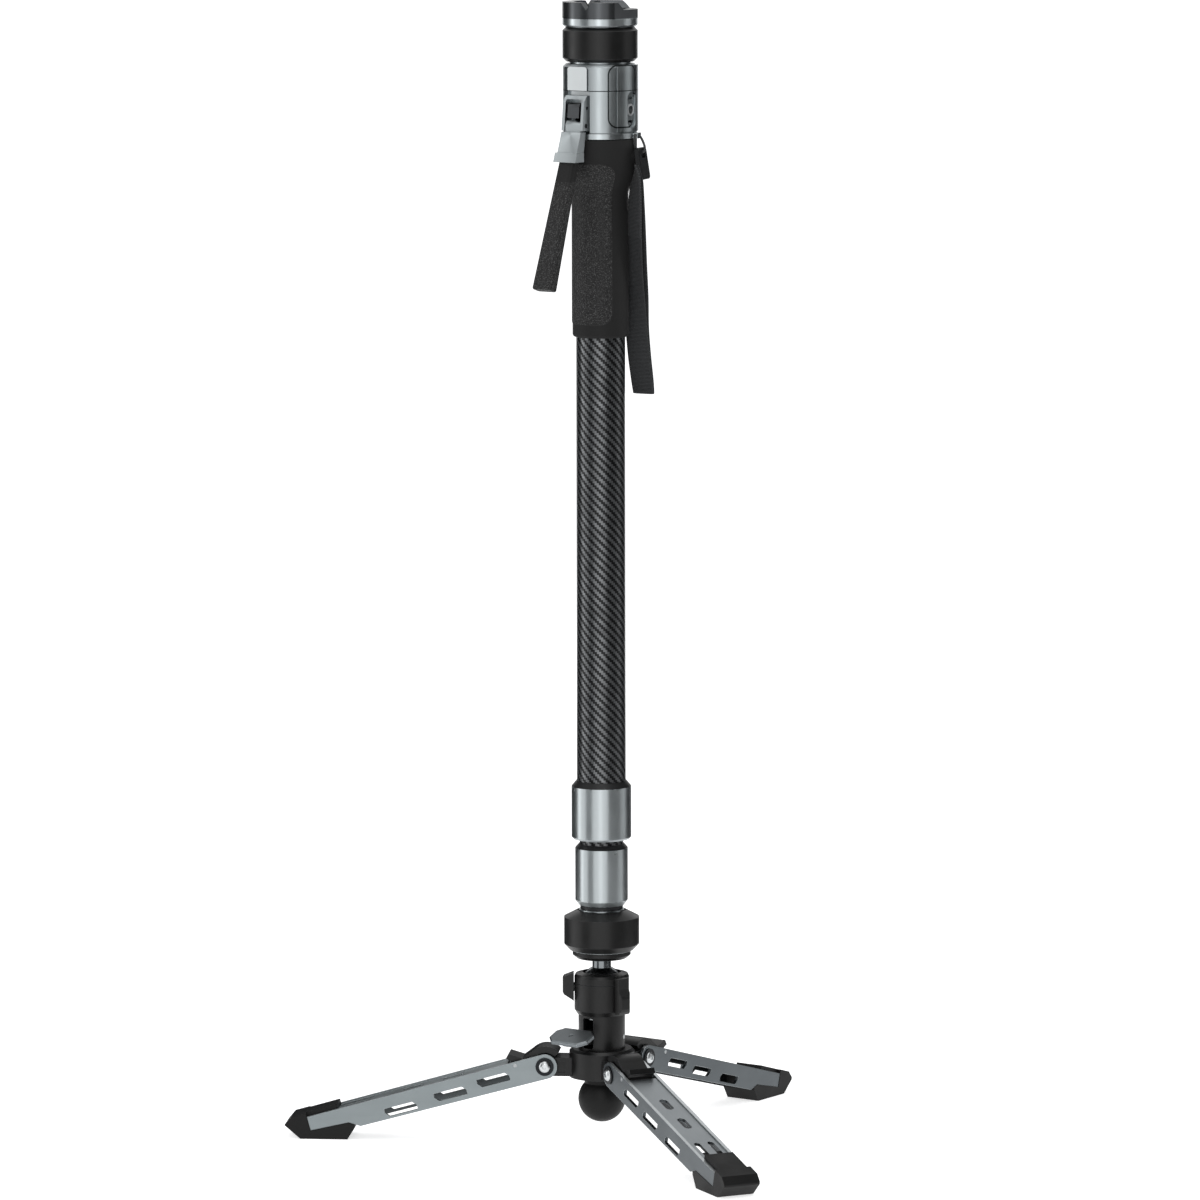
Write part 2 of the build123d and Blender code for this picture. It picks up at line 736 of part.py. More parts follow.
# Legs: a pressed channel, open below, with slots in its cheeks and top
cheek_centre = leg_half_width - leg_plate / 2
channel_half_width = leg_half_width - leg_plate
side_slot_run = leg_length - side_slot_last_back - side_slot_first
side_slot_length = side_slot_run * side_slot_share
side_slot_centres = [
    (side_slot_first + share * side_slot_run, height) for share, height in side_slot_places
]
pocket_centres = [web_start + share * (leg_length - web_start) for share in pocket_shares]
leg_channels = {}
for name, azimuth in leg_azimuths.items():
    side = leg_side_plane(azimuth)
    top = leg_top_plane(azimuth)
    with BuildPart() as channel:
        with BuildSketch(side):
            Circle(leg_end_radius)
            with BuildLine():
                Polyline(
                    (0, leg_end_radius),
                    (leg_length, leg_top_at_tip),
                    (leg_length, leg_tongue_end_bottom),
                    (leg_tongue_start, leg_tongue_bottom),
                    (leg_notch_start, leg_notch_bottom),
                    (0, -leg_end_radius),
                    close=True,
                )
            make_face()
        extrude(amount=leg_half_width, both=True)
        with BuildSketch(side):
            Rectangle(
                2 * (leg_end_radius + overrun),
                2 * (leg_end_radius + overrun),
            )
            with Locations((0, leg_end_radius + overrun)):
                Rectangle(
                    web_start,
                    2 * (leg_end_radius + overrun),
                    align=(Align.MIN, Align.MAX),
                )
            with BuildLine():
                Polyline(
                    (web_start - overrun, leg_end_radius - rail_height - leg_web),
                    (leg_length + overrun, leg_top_at_tip - rail_height - leg_web),
                    (leg_length + overrun, -leg_end_radius - overrun),
                    (web_start - overrun, -leg_end_radius - overrun),
                    close=True,
                )
            make_face()
        extrude(amount=channel_half_width, both=True, mode=Mode.SUBTRACT)
        with BuildSketch(side):
            with BuildLine():
                Polyline(
                    (web_start, leg_end_radius + overrun),
                    (leg_length + overrun, leg_top_at_tip + overrun),
                    (leg_length + overrun, leg_top_at_tip - rail_height),
                    (web_start, leg_end_radius - rail_height),
                    close=True,
                )
            make_face()
        extrude(amount=leg_half_width - rail_width, both=True, mode=Mode.SUBTRACT)
        with BuildSketch(side):
            with Locations(*side_slot_centres):
                Polygon(
                    (-side_slot_length / 2, -side_slot_height / 2),
                    (side_slot_length / 2 - side_slot_slant, -side_slot_height / 2),
                    (side_slot_length / 2, side_slot_height / 2 - side_slot_slant),
                    (side_slot_length / 2, side_slot_height / 2),
                    (-side_slot_length / 2 + side_slot_slant, side_slot_height / 2),
                    (-side_slot_length / 2, side_slot_height / 2 - side_slot_slant),
                    align=None,
                )
        extrude(amount=leg_half_width + overrun, both=True, mode=Mode.SUBTRACT)
        with BuildSketch(side):
            Circle(hinge_pin_radius + running_fit)
            with Locations((latch_pivot_along, latch_pivot_height)):
                Circle(latch_pin_radius + fixed_fit)
        extrude(amount=leg_half_width + overrun, both=True, mode=Mode.SUBTRACT)
        with BuildSketch(top):
            with Locations(*[(along, 0) for along in pocket_centres]):
                SlotOverall(pocket_length, pocket_width)
            with Locations(
                (end_slot_centre, end_slot_offset),
                (end_slot_centre, -end_slot_offset),
            ):
                SlotOverall(end_slot_length, end_slot_width)
        extrude(amount=leg_end_radius + overrun, mode=Mode.SUBTRACT)
    finish(channel, f"leg_channel_{name}")
    leg_channels[name] = channel


def leg_point(along, height):
    """Radius and height above the floor of a point given in a leg's own side view."""
    slope = math.radians(leg_slope)
    radial = hinge_radius + along * math.cos(slope) + height * math.sin(slope)
    upright = hinge_height - along * math.sin(slope) + height * math.cos(slope)
    return radial, upright


# Rubber feet: a moulded shoe over each leg's tip, flat on the floor
web_middle = leg_top_at_tip - rail_height - leg_web / 2
pad_top = leg_top_at_tip - rail_height + foot_pad_thickness
for name, azimuth in leg_azimuths.items():
    side = leg_side_plane(azimuth)
    upright = side_plane(azimuth)
    with BuildPart() as shoe:
        with BuildSketch(upright):
            with BuildLine():
                Polyline(
                    (foot_inner_radius, foot_inner_height),
                    (foot_flat_start, 0),
                    (foot_flat_end, 0),
                    (foot_nose_radius, foot_nose_height),
                    (foot_nose_top_radius, foot_nose_top_height),
                    leg_point(foot_pad_start, pad_top),
                    leg_point(foot_pad_start, web_middle),
                    leg_point(leg_notch_start, web_middle),
                    close=True,
                )
            make_face()
            fillet(
                vertices().group_by(Axis((0, 0, 0), upright.x_dir))[-1]
                + vertices().group_by(Axis((0, 0, 0), upright.x_dir))[-2],
                foot_corner_fillet,
            )
        extrude(amount=foot_half_width, both=True)
        add(leg_channels[name].part, mode=Mode.SUBTRACT)
        for hand in (-1, 1):
            with BuildSketch(side.offset(hand * channel_half_width)):
                with BuildLine():
                    Polyline(
                        (leg_notch_start, pad_top + overrun),
                        (leg_length, pad_top + overrun),
                        (leg_length, leg_tongue_end_bottom),
                        (leg_tongue_start, leg_tongue_bottom),
                        (leg_notch_start, leg_notch_bottom),
                        close=True,
                    )
                make_face()
            extrude(amount=hand * foot_half_width, mode=Mode.SUBTRACT)
    finish(shoe, f"leg_foot_{name}")

# Leg latches: a rocking catch between the cheeks, over the hinge barrel
latch_inner_radius = lug_barrel_radius + 2 * free_gap
hook_angle = math.radians(latch_hook_angle)
shoulder_angle = math.radians(latch_shoulder_angle)
shoulder_turn = latch_hook_angle - latch_shoulder_angle
eye_bottom = latch_pivot_height - latch_eye_radius
for name, azimuth in leg_azimuths.items():
    side = leg_side_plane(azimuth)
    with BuildPart() as latch:
        with BuildSketch(side):
            with BuildLine():
                outer_arc = CenterArc(
                    (0, 0), latch_outer_radius, latch_shoulder_angle, shoulder_turn
                )
                inner_arc = CenterArc(
                    (0, 0), latch_inner_radius, latch_shoulder_angle, shoulder_turn
                )
                Line(outer_arc @ 1, inner_arc @ 1)
                Polyline(
                    outer_arc @ 0,
                    (latch_dip_along, latch_dip_height),
                    (latch_tab_along, latch_tab_height),
                    (latch_tab_along + latch_tab_thickness, latch_tab_height - latch_tab_thickness),
                    (latch_tab_along, latch_tab_root_height),
                    (latch_pivot_along, eye_bottom),
                    (latch_dip_along, eye_bottom),
                    inner_arc @ 0,
                )
            make_face()
            with Locations((latch_pivot_along, latch_pivot_height)):
                Circle(latch_eye_radius)
                Circle(latch_pin_radius + running_fit, mode=Mode.SUBTRACT)
        extrude(amount=latch_half_width, both=True)
    finish(latch, f"leg_latch_{name}")

# Latch pins, flush with the cheeks
for name, azimuth in leg_azimuths.items():
    with BuildPart() as latch_pin:
        with BuildSketch(leg_side_plane(azimuth)):
            with Locations((latch_pivot_along, latch_pivot_height)):
                Circle(latch_pin_radius)
        extrude(amount=leg_half_width, both=True)
    finish(latch_pin, f"latch_pin_{name}")

# Pedestal tube: seated in the hub and in the ball head, slotted for the pedal
pedal_plane = side_plane(lever_azimuth)
with BuildPart() as pedestal_tube:
    with BuildSketch(Plane.XY.offset(hub_socket_floor)):
        Circle(pedestal_radius)
        Circle(pedestal_bore, mode=Mode.SUBTRACT)
    extrude(amount=pedestal_top - hub_socket_floor)
    slot_height = pedestal_slot_top - pedestal_slot_bottom
    slot_middle = (pedestal_slot_top + pedestal_slot_bottom) / 2
    with BuildSketch(facing_plane(lever_azimuth, 0, slot_middle)):
        RectangleRounded(pedestal_slot_width, slot_height, pedestal_slot_corner)
    extrude(amount=pedestal_radius + overrun, mode=Mode.SUBTRACT)
    with BuildSketch(pedal_plane):
        with Locations((pedal_pivot_radial, pedal_pivot_height)):
            Circle(pedal_pin_radius + fixed_fit)
    extrude(amount=pedestal_radius, both=True, mode=Mode.SUBTRACT)
finish(pedestal_tube, "pedestal_tube")

# Pedal pin across the tube, with its ends flush in the wall
with BuildPart() as pedal_pin:
    with BuildSketch(pedal_plane):
        with Locations((pedal_pivot_radial, pedal_pivot_height)):
            Circle(pedal_pin_radius)
    extrude(amount=pedestal_radius, both=True)
    with BuildSketch(Plane.XY.offset(hub_top)):
        Circle(pedestal_radius)
    extrude(amount=pedestal_top - hub_top, mode=Mode.INTERSECT)
finish(pedal_pin, "pedal_pin")

# Pedal lever: an eye on the pin and an arm out through the slot, under the plate
plate_tilt = math.radians(pedal_plate_tilt)
plate_plane = Plane(
    origin=radial_direction(lever_azimuth) * pedal_plate_radial
    + Vector(0, 0, pedal_plate_height),
    x_dir=Vector(0, 0, 1).cross(radial_direction(lever_azimuth)),
    z_dir=radial_direction(lever_azimuth) * math.sin(plate_tilt)
    + Vector(0, 0, math.cos(plate_tilt)),
)
plate_under = pedal_plate_height - pedal_plate_thickness / 2 / math.cos(plate_tilt)
arm_end = pedal_plate_radial + pedal_plate_length / 4
arm_end_top = plate_under - (arm_end - pedal_plate_radial) * math.tan(plate_tilt)
arm_root = pedal_plate_radial - pedal_plate_length / 2 * math.cos(plate_tilt)
arm_root_top = plate_under + (pedal_plate_radial - arm_root) * math.tan(plate_tilt)
with BuildPart() as pedal_lever:
    with BuildSketch(pedal_plane):
        with Locations((pedal_pivot_radial, pedal_pivot_height)):
            Circle(pedal_eye_radius)
        with BuildLine():
            Polyline(
                (pedal_pivot_radial, pedal_pivot_height + pedal_eye_radius),
                (arm_root, arm_root_top),
                (arm_end, arm_end_top),
                (arm_end, arm_end_top - pedal_arm_thickness / 2),
                (arm_root, pedal_pivot_height - pedal_arm_thickness / 2),
                (pedal_pivot_radial, pedal_pivot_height - pedal_eye_radius),
                close=True,
            )
        make_face()
        with Locations((pedal_pivot_radial, pedal_pivot_height)):
            Circle(pedal_pin_radius + running_fit, mode=Mode.SUBTRACT)
    extrude(amount=pedal_arm_half_width, both=True)
finish(pedal_lever, "pedal_lever")

# Pedal plate: a chamfered tread with cut corners
with BuildPart() as pedal_plate:
    with BuildSketch(plate_plane.offset(-pedal_plate_thickness / 2)):
        Rectangle(pedal_plate_width, pedal_plate_length)
        chamfer(vertices(), pedal_plate_corner)
    extrude(amount=pedal_plate_thickness)
    tread_edges = pedal_plate.faces().sort_by(Axis(plate_plane.origin, plate_plane.z_dir))
    chamfer(tread_edges[-1].edges(), length=pedal_plate_thickness / 3)
    with BuildSketch(plate_plane.offset(pedal_plate_thickness / 2)):
        Circle(pedal_mark_radius)
    extrude(amount=-pedal_mark_depth, mode=Mode.SUBTRACT)
finish(pedal_plate, "pedal_plate")

# Clamp piston: pushes the cup up against the ball from inside the tube
with BuildPart() as clamp_piston:
    with BuildSketch(Plane.XY.offset(piston_top - piston_thickness)):
        Circle(piston_radius)
    extrude(amount=piston_thickness)
    stem_foot = arm_root_top + free_gap
    with BuildSketch(Plane.XY.offset(stem_foot)):
        Circle(piston_stem_radius)
    extrude(amount=piston_top - piston_thickness - stem_foot)
finish(clamp_piston, "clamp_piston")

# Pedal spring: holds the pedal up from the floor of the hub's socket
spring_foot = hub_socket_floor + pedal_spring_wire
spring_top = pedal_pivot_height - pedal_eye_radius - pedal_spring_wire
spring_height = spring_top - spring_foot - free_gap
spring_centre = radial_direction(lever_azimuth) * pedal_spring_radial
spring_base = Vector(spring_centre.X, spring_centre.Y, spring_foot)
with BuildPart() as pedal_spring:
    with BuildLine() as coil:
        Helix(
            pitch=spring_height / pedal_spring_turns,
            height=spring_height,
            radius=pedal_spring_radius,
            center=spring_base,
        )
    with BuildSketch(Plane(origin=coil.line @ 0, z_dir=coil.line % 0)):
        Circle(pedal_spring_wire)
    sweep()
finish(pedal_spring, "pedal_spring")

# Ball housing: turned cup over the tube, open at the top around the ball
cavity_sphere = ball_radius + ball_gap
lip_drop = housing_lip_height - ball_centre
with BuildPart() as ball_housing:
    with BuildSketch(Plane.XZ):
        with BuildLine():
            Polyline(
                (0, housing_bottom),
                (housing_base_radius, housing_bottom),
                (housing_radius, housing_bottom + housing_base_chamfer),
                (housing_radius, housing_shoulder),
                (housing_rim_radius, housing_rim_height),
                (housing_lip_radius, housing_lip_height),
                (0, housing_lip_height),
                close=True,
            )
        make_face()
    revolve(axis=Axis.Z)
    with BuildSketch(Plane.XY.offset(housing_bottom)):
        Circle(pedestal_radius + fixed_fit)
    extrude(amount=pedestal_top - housing_bottom, mode=Mode.SUBTRACT)
    with BuildSketch(Plane.XY.offset(pedestal_top)):
        Circle(housing_cavity_radius)
    extrude(amount=ball_centre - pedestal_top, mode=Mode.SUBTRACT)
    with Locations((0, 0, ball_centre)):
        Sphere(cavity_sphere, mode=Mode.SUBTRACT)
    with BuildSketch(Plane.XY.offset(ball_centre)):
        Circle(housing_lip_radius)
    extrude(amount=lip_drop + overrun, mode=Mode.SUBTRACT)
    with BuildSketch(Plane.XY.offset(housing_seam_height)):
        Circle(housing_radius + overrun)
        Circle(housing_radius - housing_seam_depth, mode=Mode.SUBTRACT)
    extrude(amount=housing_seam_depth, mode=Mode.SUBTRACT)
    for azimuth, height in (
        (tilt_knob_azimuth, ball_centre),
        (pan_knob_azimuth, pan_knob_axis),
    ):
        with BuildSketch(facing_plane(azimuth, ball_radius, height)):
            Circle(knob_shank_radius + running_fit)
        extrude(amount=housing_radius, mode=Mode.SUBTRACT)
finish(ball_housing, "ball_housing")

# Ball cup: the liner under the ball, a zone of a sphere
cup_inner = ball_radius + cup_inner_gap
cup_outer = cup_inner + cup_thickness
with BuildPart() as ball_cup:
    with BuildSketch(Plane.XZ):
        with BuildLine():
            cup_turn = cup_high_angle - cup_low_angle
            under = CenterArc((0, ball_centre), cup_outer, -90 + cup_low_angle, cup_turn)
            over = CenterArc((0, ball_centre), cup_inner, -90 + cup_low_angle, cup_turn)
            Line(under @ 0, over @ 0)
            Line(under @ 1, over @ 1)
        make_face()
    revolve(axis=Axis.Z)
finish(ball_cup, "ball_cup")

# Ball and polished stem in one piece
with BuildPart() as tilt_ball:
    with Locations((0, 0, ball_centre)):
        Sphere(ball_radius)
    with BuildSketch(Plane.XY.offset(ball_centre)):
        Circle(stem_radius)
    extrude(amount=disc_bottom - ball_centre)
    with BuildSketch(Plane.XY.offset(disc_bottom)):
        Circle(disc_bore - fixed_fit)
    extrude(amount=stud_top - disc_bottom)
    chamfer(tilt_ball.edges().group_by(Axis.Z)[-1], length=disc_bore / 6)
finish(tilt_ball, "tilt_ball")

# Stem disc: the plate that the column turns on
with BuildPart() as stem_disc:
    with BuildSketch(Plane.XZ):
        with BuildLine():
            Polyline(
                (disc_bore, disc_bottom),
                (disc_bottom_radius, disc_bottom),
                (disc_radius, disc_step),
                (disc_radius, disc_top),
                (disc_bore, disc_top),
                close=True,
            )
        make_face()
    revolve(axis=Axis.Z)
finish(stem_disc, "stem_disc")

# Knobs: finned thumb keys with a shank through the housing wall
knob_root = housing_radius + knob_gap
with BuildPart() as tilt_knob:
    with BuildSketch(side_plane(tilt_knob_azimuth)):
        with BuildLine():
            Polyline(
                (knob_root, tilt_knob_bottom),
                (tilt_knob_reach, tilt_knob_low_corner),
                (tilt_knob_reach, tilt_knob_high_corner),
                (knob_root, tilt_knob_top),
                close=True,
            )
        make_face()
    extrude(amount=tilt_knob_half_width, both=True)
    outer_face = tilt_knob.faces().sort_by(
        Axis((0, 0, 0), radial_direction(tilt_knob_azimuth))
    )
    chamfer(outer_face[-1].edges(), length=knob_edge_chamfer)
    with BuildSketch(facing_plane(tilt_knob_azimuth, knob_shank_inner, ball_centre)):
        Circle(knob_shank_radius)
    extrude(amount=knob_root - knob_shank_inner)
finish(tilt_knob, "tilt_knob")

with BuildPart() as pan_knob:
    with BuildSketch(side_plane(pan_knob_azimuth)):
        with BuildLine():
            Polyline(
                (knob_root, pan_knob_bottom),
                (pan_knob_waist, pan_knob_bottom),
                (pan_knob_reach, pan_knob_low_corner),
                (pan_knob_reach, pan_knob_high_corner),
                (pan_knob_waist, pan_knob_waist_height),
                (pan_knob_waist, pan_knob_top),
                (knob_root, pan_knob_top),
                close=True,
            )
        make_face()
    extrude(amount=pan_knob_half_width, both=True)
    outer_face = pan_knob.faces().sort_by(
        Axis((0, 0, 0), radial_direction(pan_knob_azimuth))
    )
    chamfer(outer_face[-1].edges(), length=knob_edge_chamfer)
    with BuildSketch(facing_plane(pan_knob_azimuth, knob_shank_inner, pan_knob_axis)):
        Circle(knob_shank_radius)
    extrude(amount=knob_root - knob_shank_inner)
finish(pan_knob, "pan_knob")

# Receiver: the foot of the column, turning on the stem disc
with BuildPart() as receiver_plug:
    with BuildSketch(Plane.XY.offset(receiver_bottom)):
        Circle(receiver_radius)
    extrude(amount=receiver_top - receiver_bottom)
    with BuildSketch(Plane.XY.offset(receiver_bottom)):
        Circle(disc_bore + running_fit)
    extrude(amount=stud_top + overrun - receiver_bottom, mode=Mode.SUBTRACT)
    with BuildSketch(Plane.XY.offset(inner_tube_bottom)):
        Circle(inner_tube_radius + fixed_fit)
    extrude(amount=receiver_top - inner_tube_bottom, mode=Mode.SUBTRACT)
finish(receiver_plug, "receiver_plug")

# Receiver collar: the pale sleeve above the ring
with BuildPart() as receiver_collar:
    with BuildSketch(Plane.XY.offset(receiver_top)):
        Circle(receiver_collar_radius)
        Circle(inner_tube_radius + fixed_fit, mode=Mode.SUBTRACT)
    extrude(amount=receiver_collar_top - receiver_top)
    chamfer(
        receiver_collar.edges().filter_by(GeomType.CIRCLE).sort_by(Edge.length)[-1],
        length=fixed_fit * 4,
    )
finish(receiver_collar, "receiver_collar")

# Quick-release ring: turns on the receiver, chamfered at both ends
with BuildPart() as qr_ring:
    with BuildSketch(Plane.XZ):
        with BuildLine():
            Polyline(
                (receiver_radius + running_fit, ring_bottom),
                (ring_bottom_radius, ring_bottom),
                (ring_radius, ring_low_shoulder),
                (ring_radius, ring_high_shoulder),
                (ring_top_radius, ring_top),
                (ring_top_radius, receiver_top + free_gap),
                (receiver_radius + running_fit, receiver_top + free_gap),
                close=True,
            )
        make_face()
    revolve(axis=Axis.Z)
finish(qr_ring, "qr_ring")


def tube(name, radius, bore, bottom, top):
    """One drawn tube of the column."""
    with BuildPart() as section:
        with BuildSketch(Plane.XY.offset(bottom)):
            Circle(radius)
            Circle(bore, mode=Mode.SUBTRACT)
        extrude(amount=top - bottom)
    finish(section, name)


def tube_guide(name, plug_radius, slide_radius, tube_end):
    """Plug in a tube's top end with a flange that slides in the tube around it."""
    with BuildPart() as guide:
        with BuildSketch(Plane.XY.offset(tube_end - guide_spigot)):
            Circle(plug_radius)
        extrude(amount=guide_spigot)
        with BuildSketch(Plane.XY.offset(tube_end)):
            Circle(slide_radius)
        extrude(amount=guide_flange)
        chamfer(guide.edges().group_by(Axis.Z)[-1], length=guide_flange / 8)
        with BuildSketch(Plane.XY.offset(tube_end - guide_spigot)):
            Circle(guide_bore)
        extrude(amount=guide_spigot + guide_flange, mode=Mode.SUBTRACT)
    finish(guide, name)


# Column tubes: the inner one in the receiver, the outer one under the grip
tube("inner_tube", inner_tube_radius, inner_tube_bore, inner_tube_bottom, inner_tube_top)
tube("mid_tube", mid_tube_radius, mid_tube_bore, mid_tube_bottom, mid_tube_top)
tube("outer_tube", outer_tube_radius, outer_tube_bore, outer_tube_bottom, outer_tube_top)

# Guides at the tops of the two sliding tubes
tube_guide(
    "inner_tube_guide",
    inner_tube_bore - fixed_fit,
    mid_tube_bore - running_fit,
    inner_tube_top,
)
tube_guide(
    "mid_tube_guide",
    mid_tube_bore - fixed_fit,
    outer_tube_bore - running_fit,
    mid_tube_top,
)


def collar(name, radius, low_radius, bore, heights, pin_azimuth, pin_height):
    """Sleeve on a tube end, chamfered below, with a blind pin hole near the top."""
    low, full_low, high = heights
    with BuildPart() as sleeve:
        with BuildSketch(Plane.XZ):
            with BuildLine():
                Polyline(
                    (bore, low),
                    (low_radius, low),
                    (radius, full_low),
                    (radius, high),
                    (bore, high),
                    close=True,
                )
            make_face()
        revolve(axis=Axis.Z)
        with BuildSketch(facing_plane(pin_azimuth, radius, pin_height)):
            Circle(collar_pin_radius)
        extrude(amount=-collar_pin_depth, mode=Mode.SUBTRACT)
    finish(sleeve, name)


def collar_cap(name, low_radius, top_radius, bore, low, high):
    """Dark ring that tapers from a collar's top in to the tube above it."""
    with BuildPart() as cap:
        with BuildSketch(Plane.XZ):
            with BuildLine():
                Polyline(
                    (bore, low),
                    (low_radius, low),
                    (top_radius, high),
                    (bore, high),
                    close=True,
                )
            make_face()
        revolve(axis=Axis.Z)
    finish(cap, name)


# Collar, cap and wiper seal at the foot of the outer tube
collar(
    "outer_collar",
    outer_collar_radius,
    outer_collar_low_radius,
    outer_tube_radius + fixed_fit,
    (outer_collar_bottom, outer_collar_full_bottom, outer_collar_full_top),
    outer_pin_azimuth,
    outer_pin_height,
)
collar_cap(
    "outer_collar_cap",
    outer_collar_radius,
    outer_collar_top_radius,
    outer_tube_radius + fixed_fit,
    outer_collar_full_top,
    outer_collar_top,
)
with BuildPart() as outer_collar_seal:
    with BuildSketch(Plane.XY.offset(outer_collar_bottom)):
        Circle(outer_tube_radius)
        Circle(mid_tube_radius + running_fit, mode=Mode.SUBTRACT)
    extrude(amount=outer_tube_bottom - outer_collar_bottom)
finish(outer_collar_seal, "outer_collar_seal")

# Collar, cap and wiper seal at the foot of the middle tube
collar(
    "mid_collar",
    mid_collar_radius,
    mid_collar_low_radius,
    mid_tube_radius + fixed_fit,
    (mid_collar_bottom, mid_collar_full_bottom, mid_collar_full_top),
    mid_pin_azimuth,
    mid_pin_height,
)
collar_cap(
    "mid_collar_cap",
    mid_collar_radius,
    mid_collar_top_radius,
    mid_tube_radius + fixed_fit,
    mid_collar_full_top,
    mid_collar_top,
)
with BuildPart() as mid_collar_seal:
    with BuildSketch(Plane.XY.offset(mid_collar_bottom)):
        Circle(mid_tube_radius)
        Circle(inner_tube_radius + running_fit, mode=Mode.SUBTRACT)
    extrude(amount=mid_tube_bottom - mid_collar_bottom)
    with BuildSketch(Plane.XY.offset(mid_collar_bottom - seal_nose_length)):
        Circle(seal_nose_radius)
        Circle(inner_tube_radius + running_fit, mode=Mode.SUBTRACT)
    extrude(amount=seal_nose_length)
finish(mid_collar_seal, "mid_collar_seal")

# Foam hand grip, flared towards the head
flare_rise = grip_flare_radius - grip_radius
flare_run = grip_flare_end - grip_flare_start
with BuildPart() as foam_grip:
    with BuildSketch(Plane.XZ):
        with BuildLine():
            Line((outer_tube_radius + fixed_fit, grip_top), (outer_tube_radius + fixed_fit, grip_bottom))
            Line((outer_tube_radius + fixed_fit, grip_bottom), (grip_radius, grip_bottom))
            Line((grip_radius, grip_bottom), (grip_radius, grip_flare_start))
            Spline(
                (grip_radius, grip_flare_start),
                (grip_radius + flare_rise / 3, grip_flare_start + flare_run / 2),
                (grip_flare_radius, grip_flare_end),
                tangents=[(0, 1), (flare_rise, flare_run)],
            )
            Line((grip_flare_radius, grip_flare_end), (grip_flare_radius, grip_top))
            Line((grip_flare_radius, grip_top), (outer_tube_radius + fixed_fit, grip_top))
        make_face()
    revolve(axis=Axis.Z)
    bottom_edges = foam_grip.edges().group_by(Axis.Z)[0].sort_by(Edge.length)
    fillet(bottom_edges[-1], radius=grip_edge_fillet)
finish(foam_grip, "foam_grip")

# Strap ring: a thin ring under the head with a drilled lug
lug_plane = side_plane(strap_azimuth)
ring_middle = (strap_ring_bottom + strap_ring_top) / 2
with BuildPart() as strap_ring:
    with BuildSketch(Plane.XY.offset(strap_ring_bottom)):
        Circle(strap_ring_radius)
        with Locations(Location((0, 0, 0), (0, 0, strap_azimuth))):
            Rectangle(
                strap_lug_reach,
                2 * strap_lug_half_width,
                align=(Align.MIN, Align.CENTER),
            )
        Circle(outer_tube_radius + fixed_fit, mode=Mode.SUBTRACT)
    extrude(amount=strap_ring_top - strap_ring_bottom)
    with BuildSketch(lug_plane):
        with Locations((strap_eye_radial, ring_middle)):
            Circle(strap_eye_radius)
    extrude(amount=2 * strap_lug_half_width, both=True, mode=Mode.SUBTRACT)
finish(strap_ring, "strap_ring")

# Head body: seated in the outer tube, with flats and pockets for what it carries
port_plane = side_plane(port_azimuth)
panel_outer = head_radius + panel_height_proud
with BuildPart() as head_body:
    with BuildSketch(Plane.XY.offset(head_bottom)):
        Circle(head_radius)
    extrude(amount=head_seam - head_bottom)
    chamfer(head_body.edges().group_by(Axis.Z)[0], length=panel_height_proud)
    with BuildSketch(Plane.XY.offset(head_bottom)):
        Circle(panel_outer)
    panel_round = extrude(amount=head_seam - head_bottom, mode=Mode.PRIVATE)
    with BuildSketch(facing_plane(port_azimuth, bracket_seat, 0)):
        with Locations((0, (panel_bottom + panel_top) / 2)):
            RectangleRounded(2 * panel_half_width, panel_top - panel_bottom, panel_corner)
    panel_block = extrude(amount=panel_outer, mode=Mode.PRIVATE)
    add(panel_round & panel_block)
    with BuildSketch(Plane.XY.offset(head_spigot_bottom)):
        Circle(outer_tube_bore - fixed_fit)
    extrude(amount=head_bottom - head_spigot_bottom)
    with BuildSketch(Plane.XY.offset(head_spigot_bottom)):
        Circle(head_spigot_bore)
    extrude(amount=head_bottom - head_spigot_bottom, mode=Mode.SUBTRACT)
    with BuildSketch(Plane.XY.offset(head_bottom)):
        Circle(head_bore)
    extrude(amount=head_seam - head_bottom, mode=Mode.SUBTRACT)
    with BuildSketch(facing_plane(lever_azimuth, bracket_seat, head_bottom)):
        Rectangle(
            2 * (bracket_half_width + running_fit),
            head_seam - head_bottom,
            align=(Align.CENTER, Align.MIN),
        )
    extrude(amount=head_radius, mode=Mode.SUBTRACT)
    with BuildSketch(facing_plane(lever_azimuth, 0, (nose_slot_bottom + nose_slot_top) / 2)):
        Rectangle(2 * nose_slot_half_width, nose_slot_top - nose_slot_bottom)
    extrude(amount=head_radius, mode=Mode.SUBTRACT)
    with BuildSketch(facing_plane(port_azimuth, port_recess_floor, port_height)):
        SlotOverall(port_recess_height, port_recess_width, rotation=90)
    extrude(amount=head_radius, mode=Mode.SUBTRACT)
    with BuildSketch(facing_plane(port_azimuth, port_insert_inner, port_height)):
        Circle(port_insert_radius + fixed_fit)
    extrude(amount=head_radius, mode=Mode.SUBTRACT)
    with BuildSketch(facing_plane(port_azimuth, port_recess_floor - port_slot_depth, port_height)):
        with Locations((0, port_slot_offset), (0, -port_slot_offset)):
            SlotOverall(port_slot_length, port_slot_width)
    extrude(amount=head_radius, mode=Mode.SUBTRACT)
finish(head_body, "head_body")

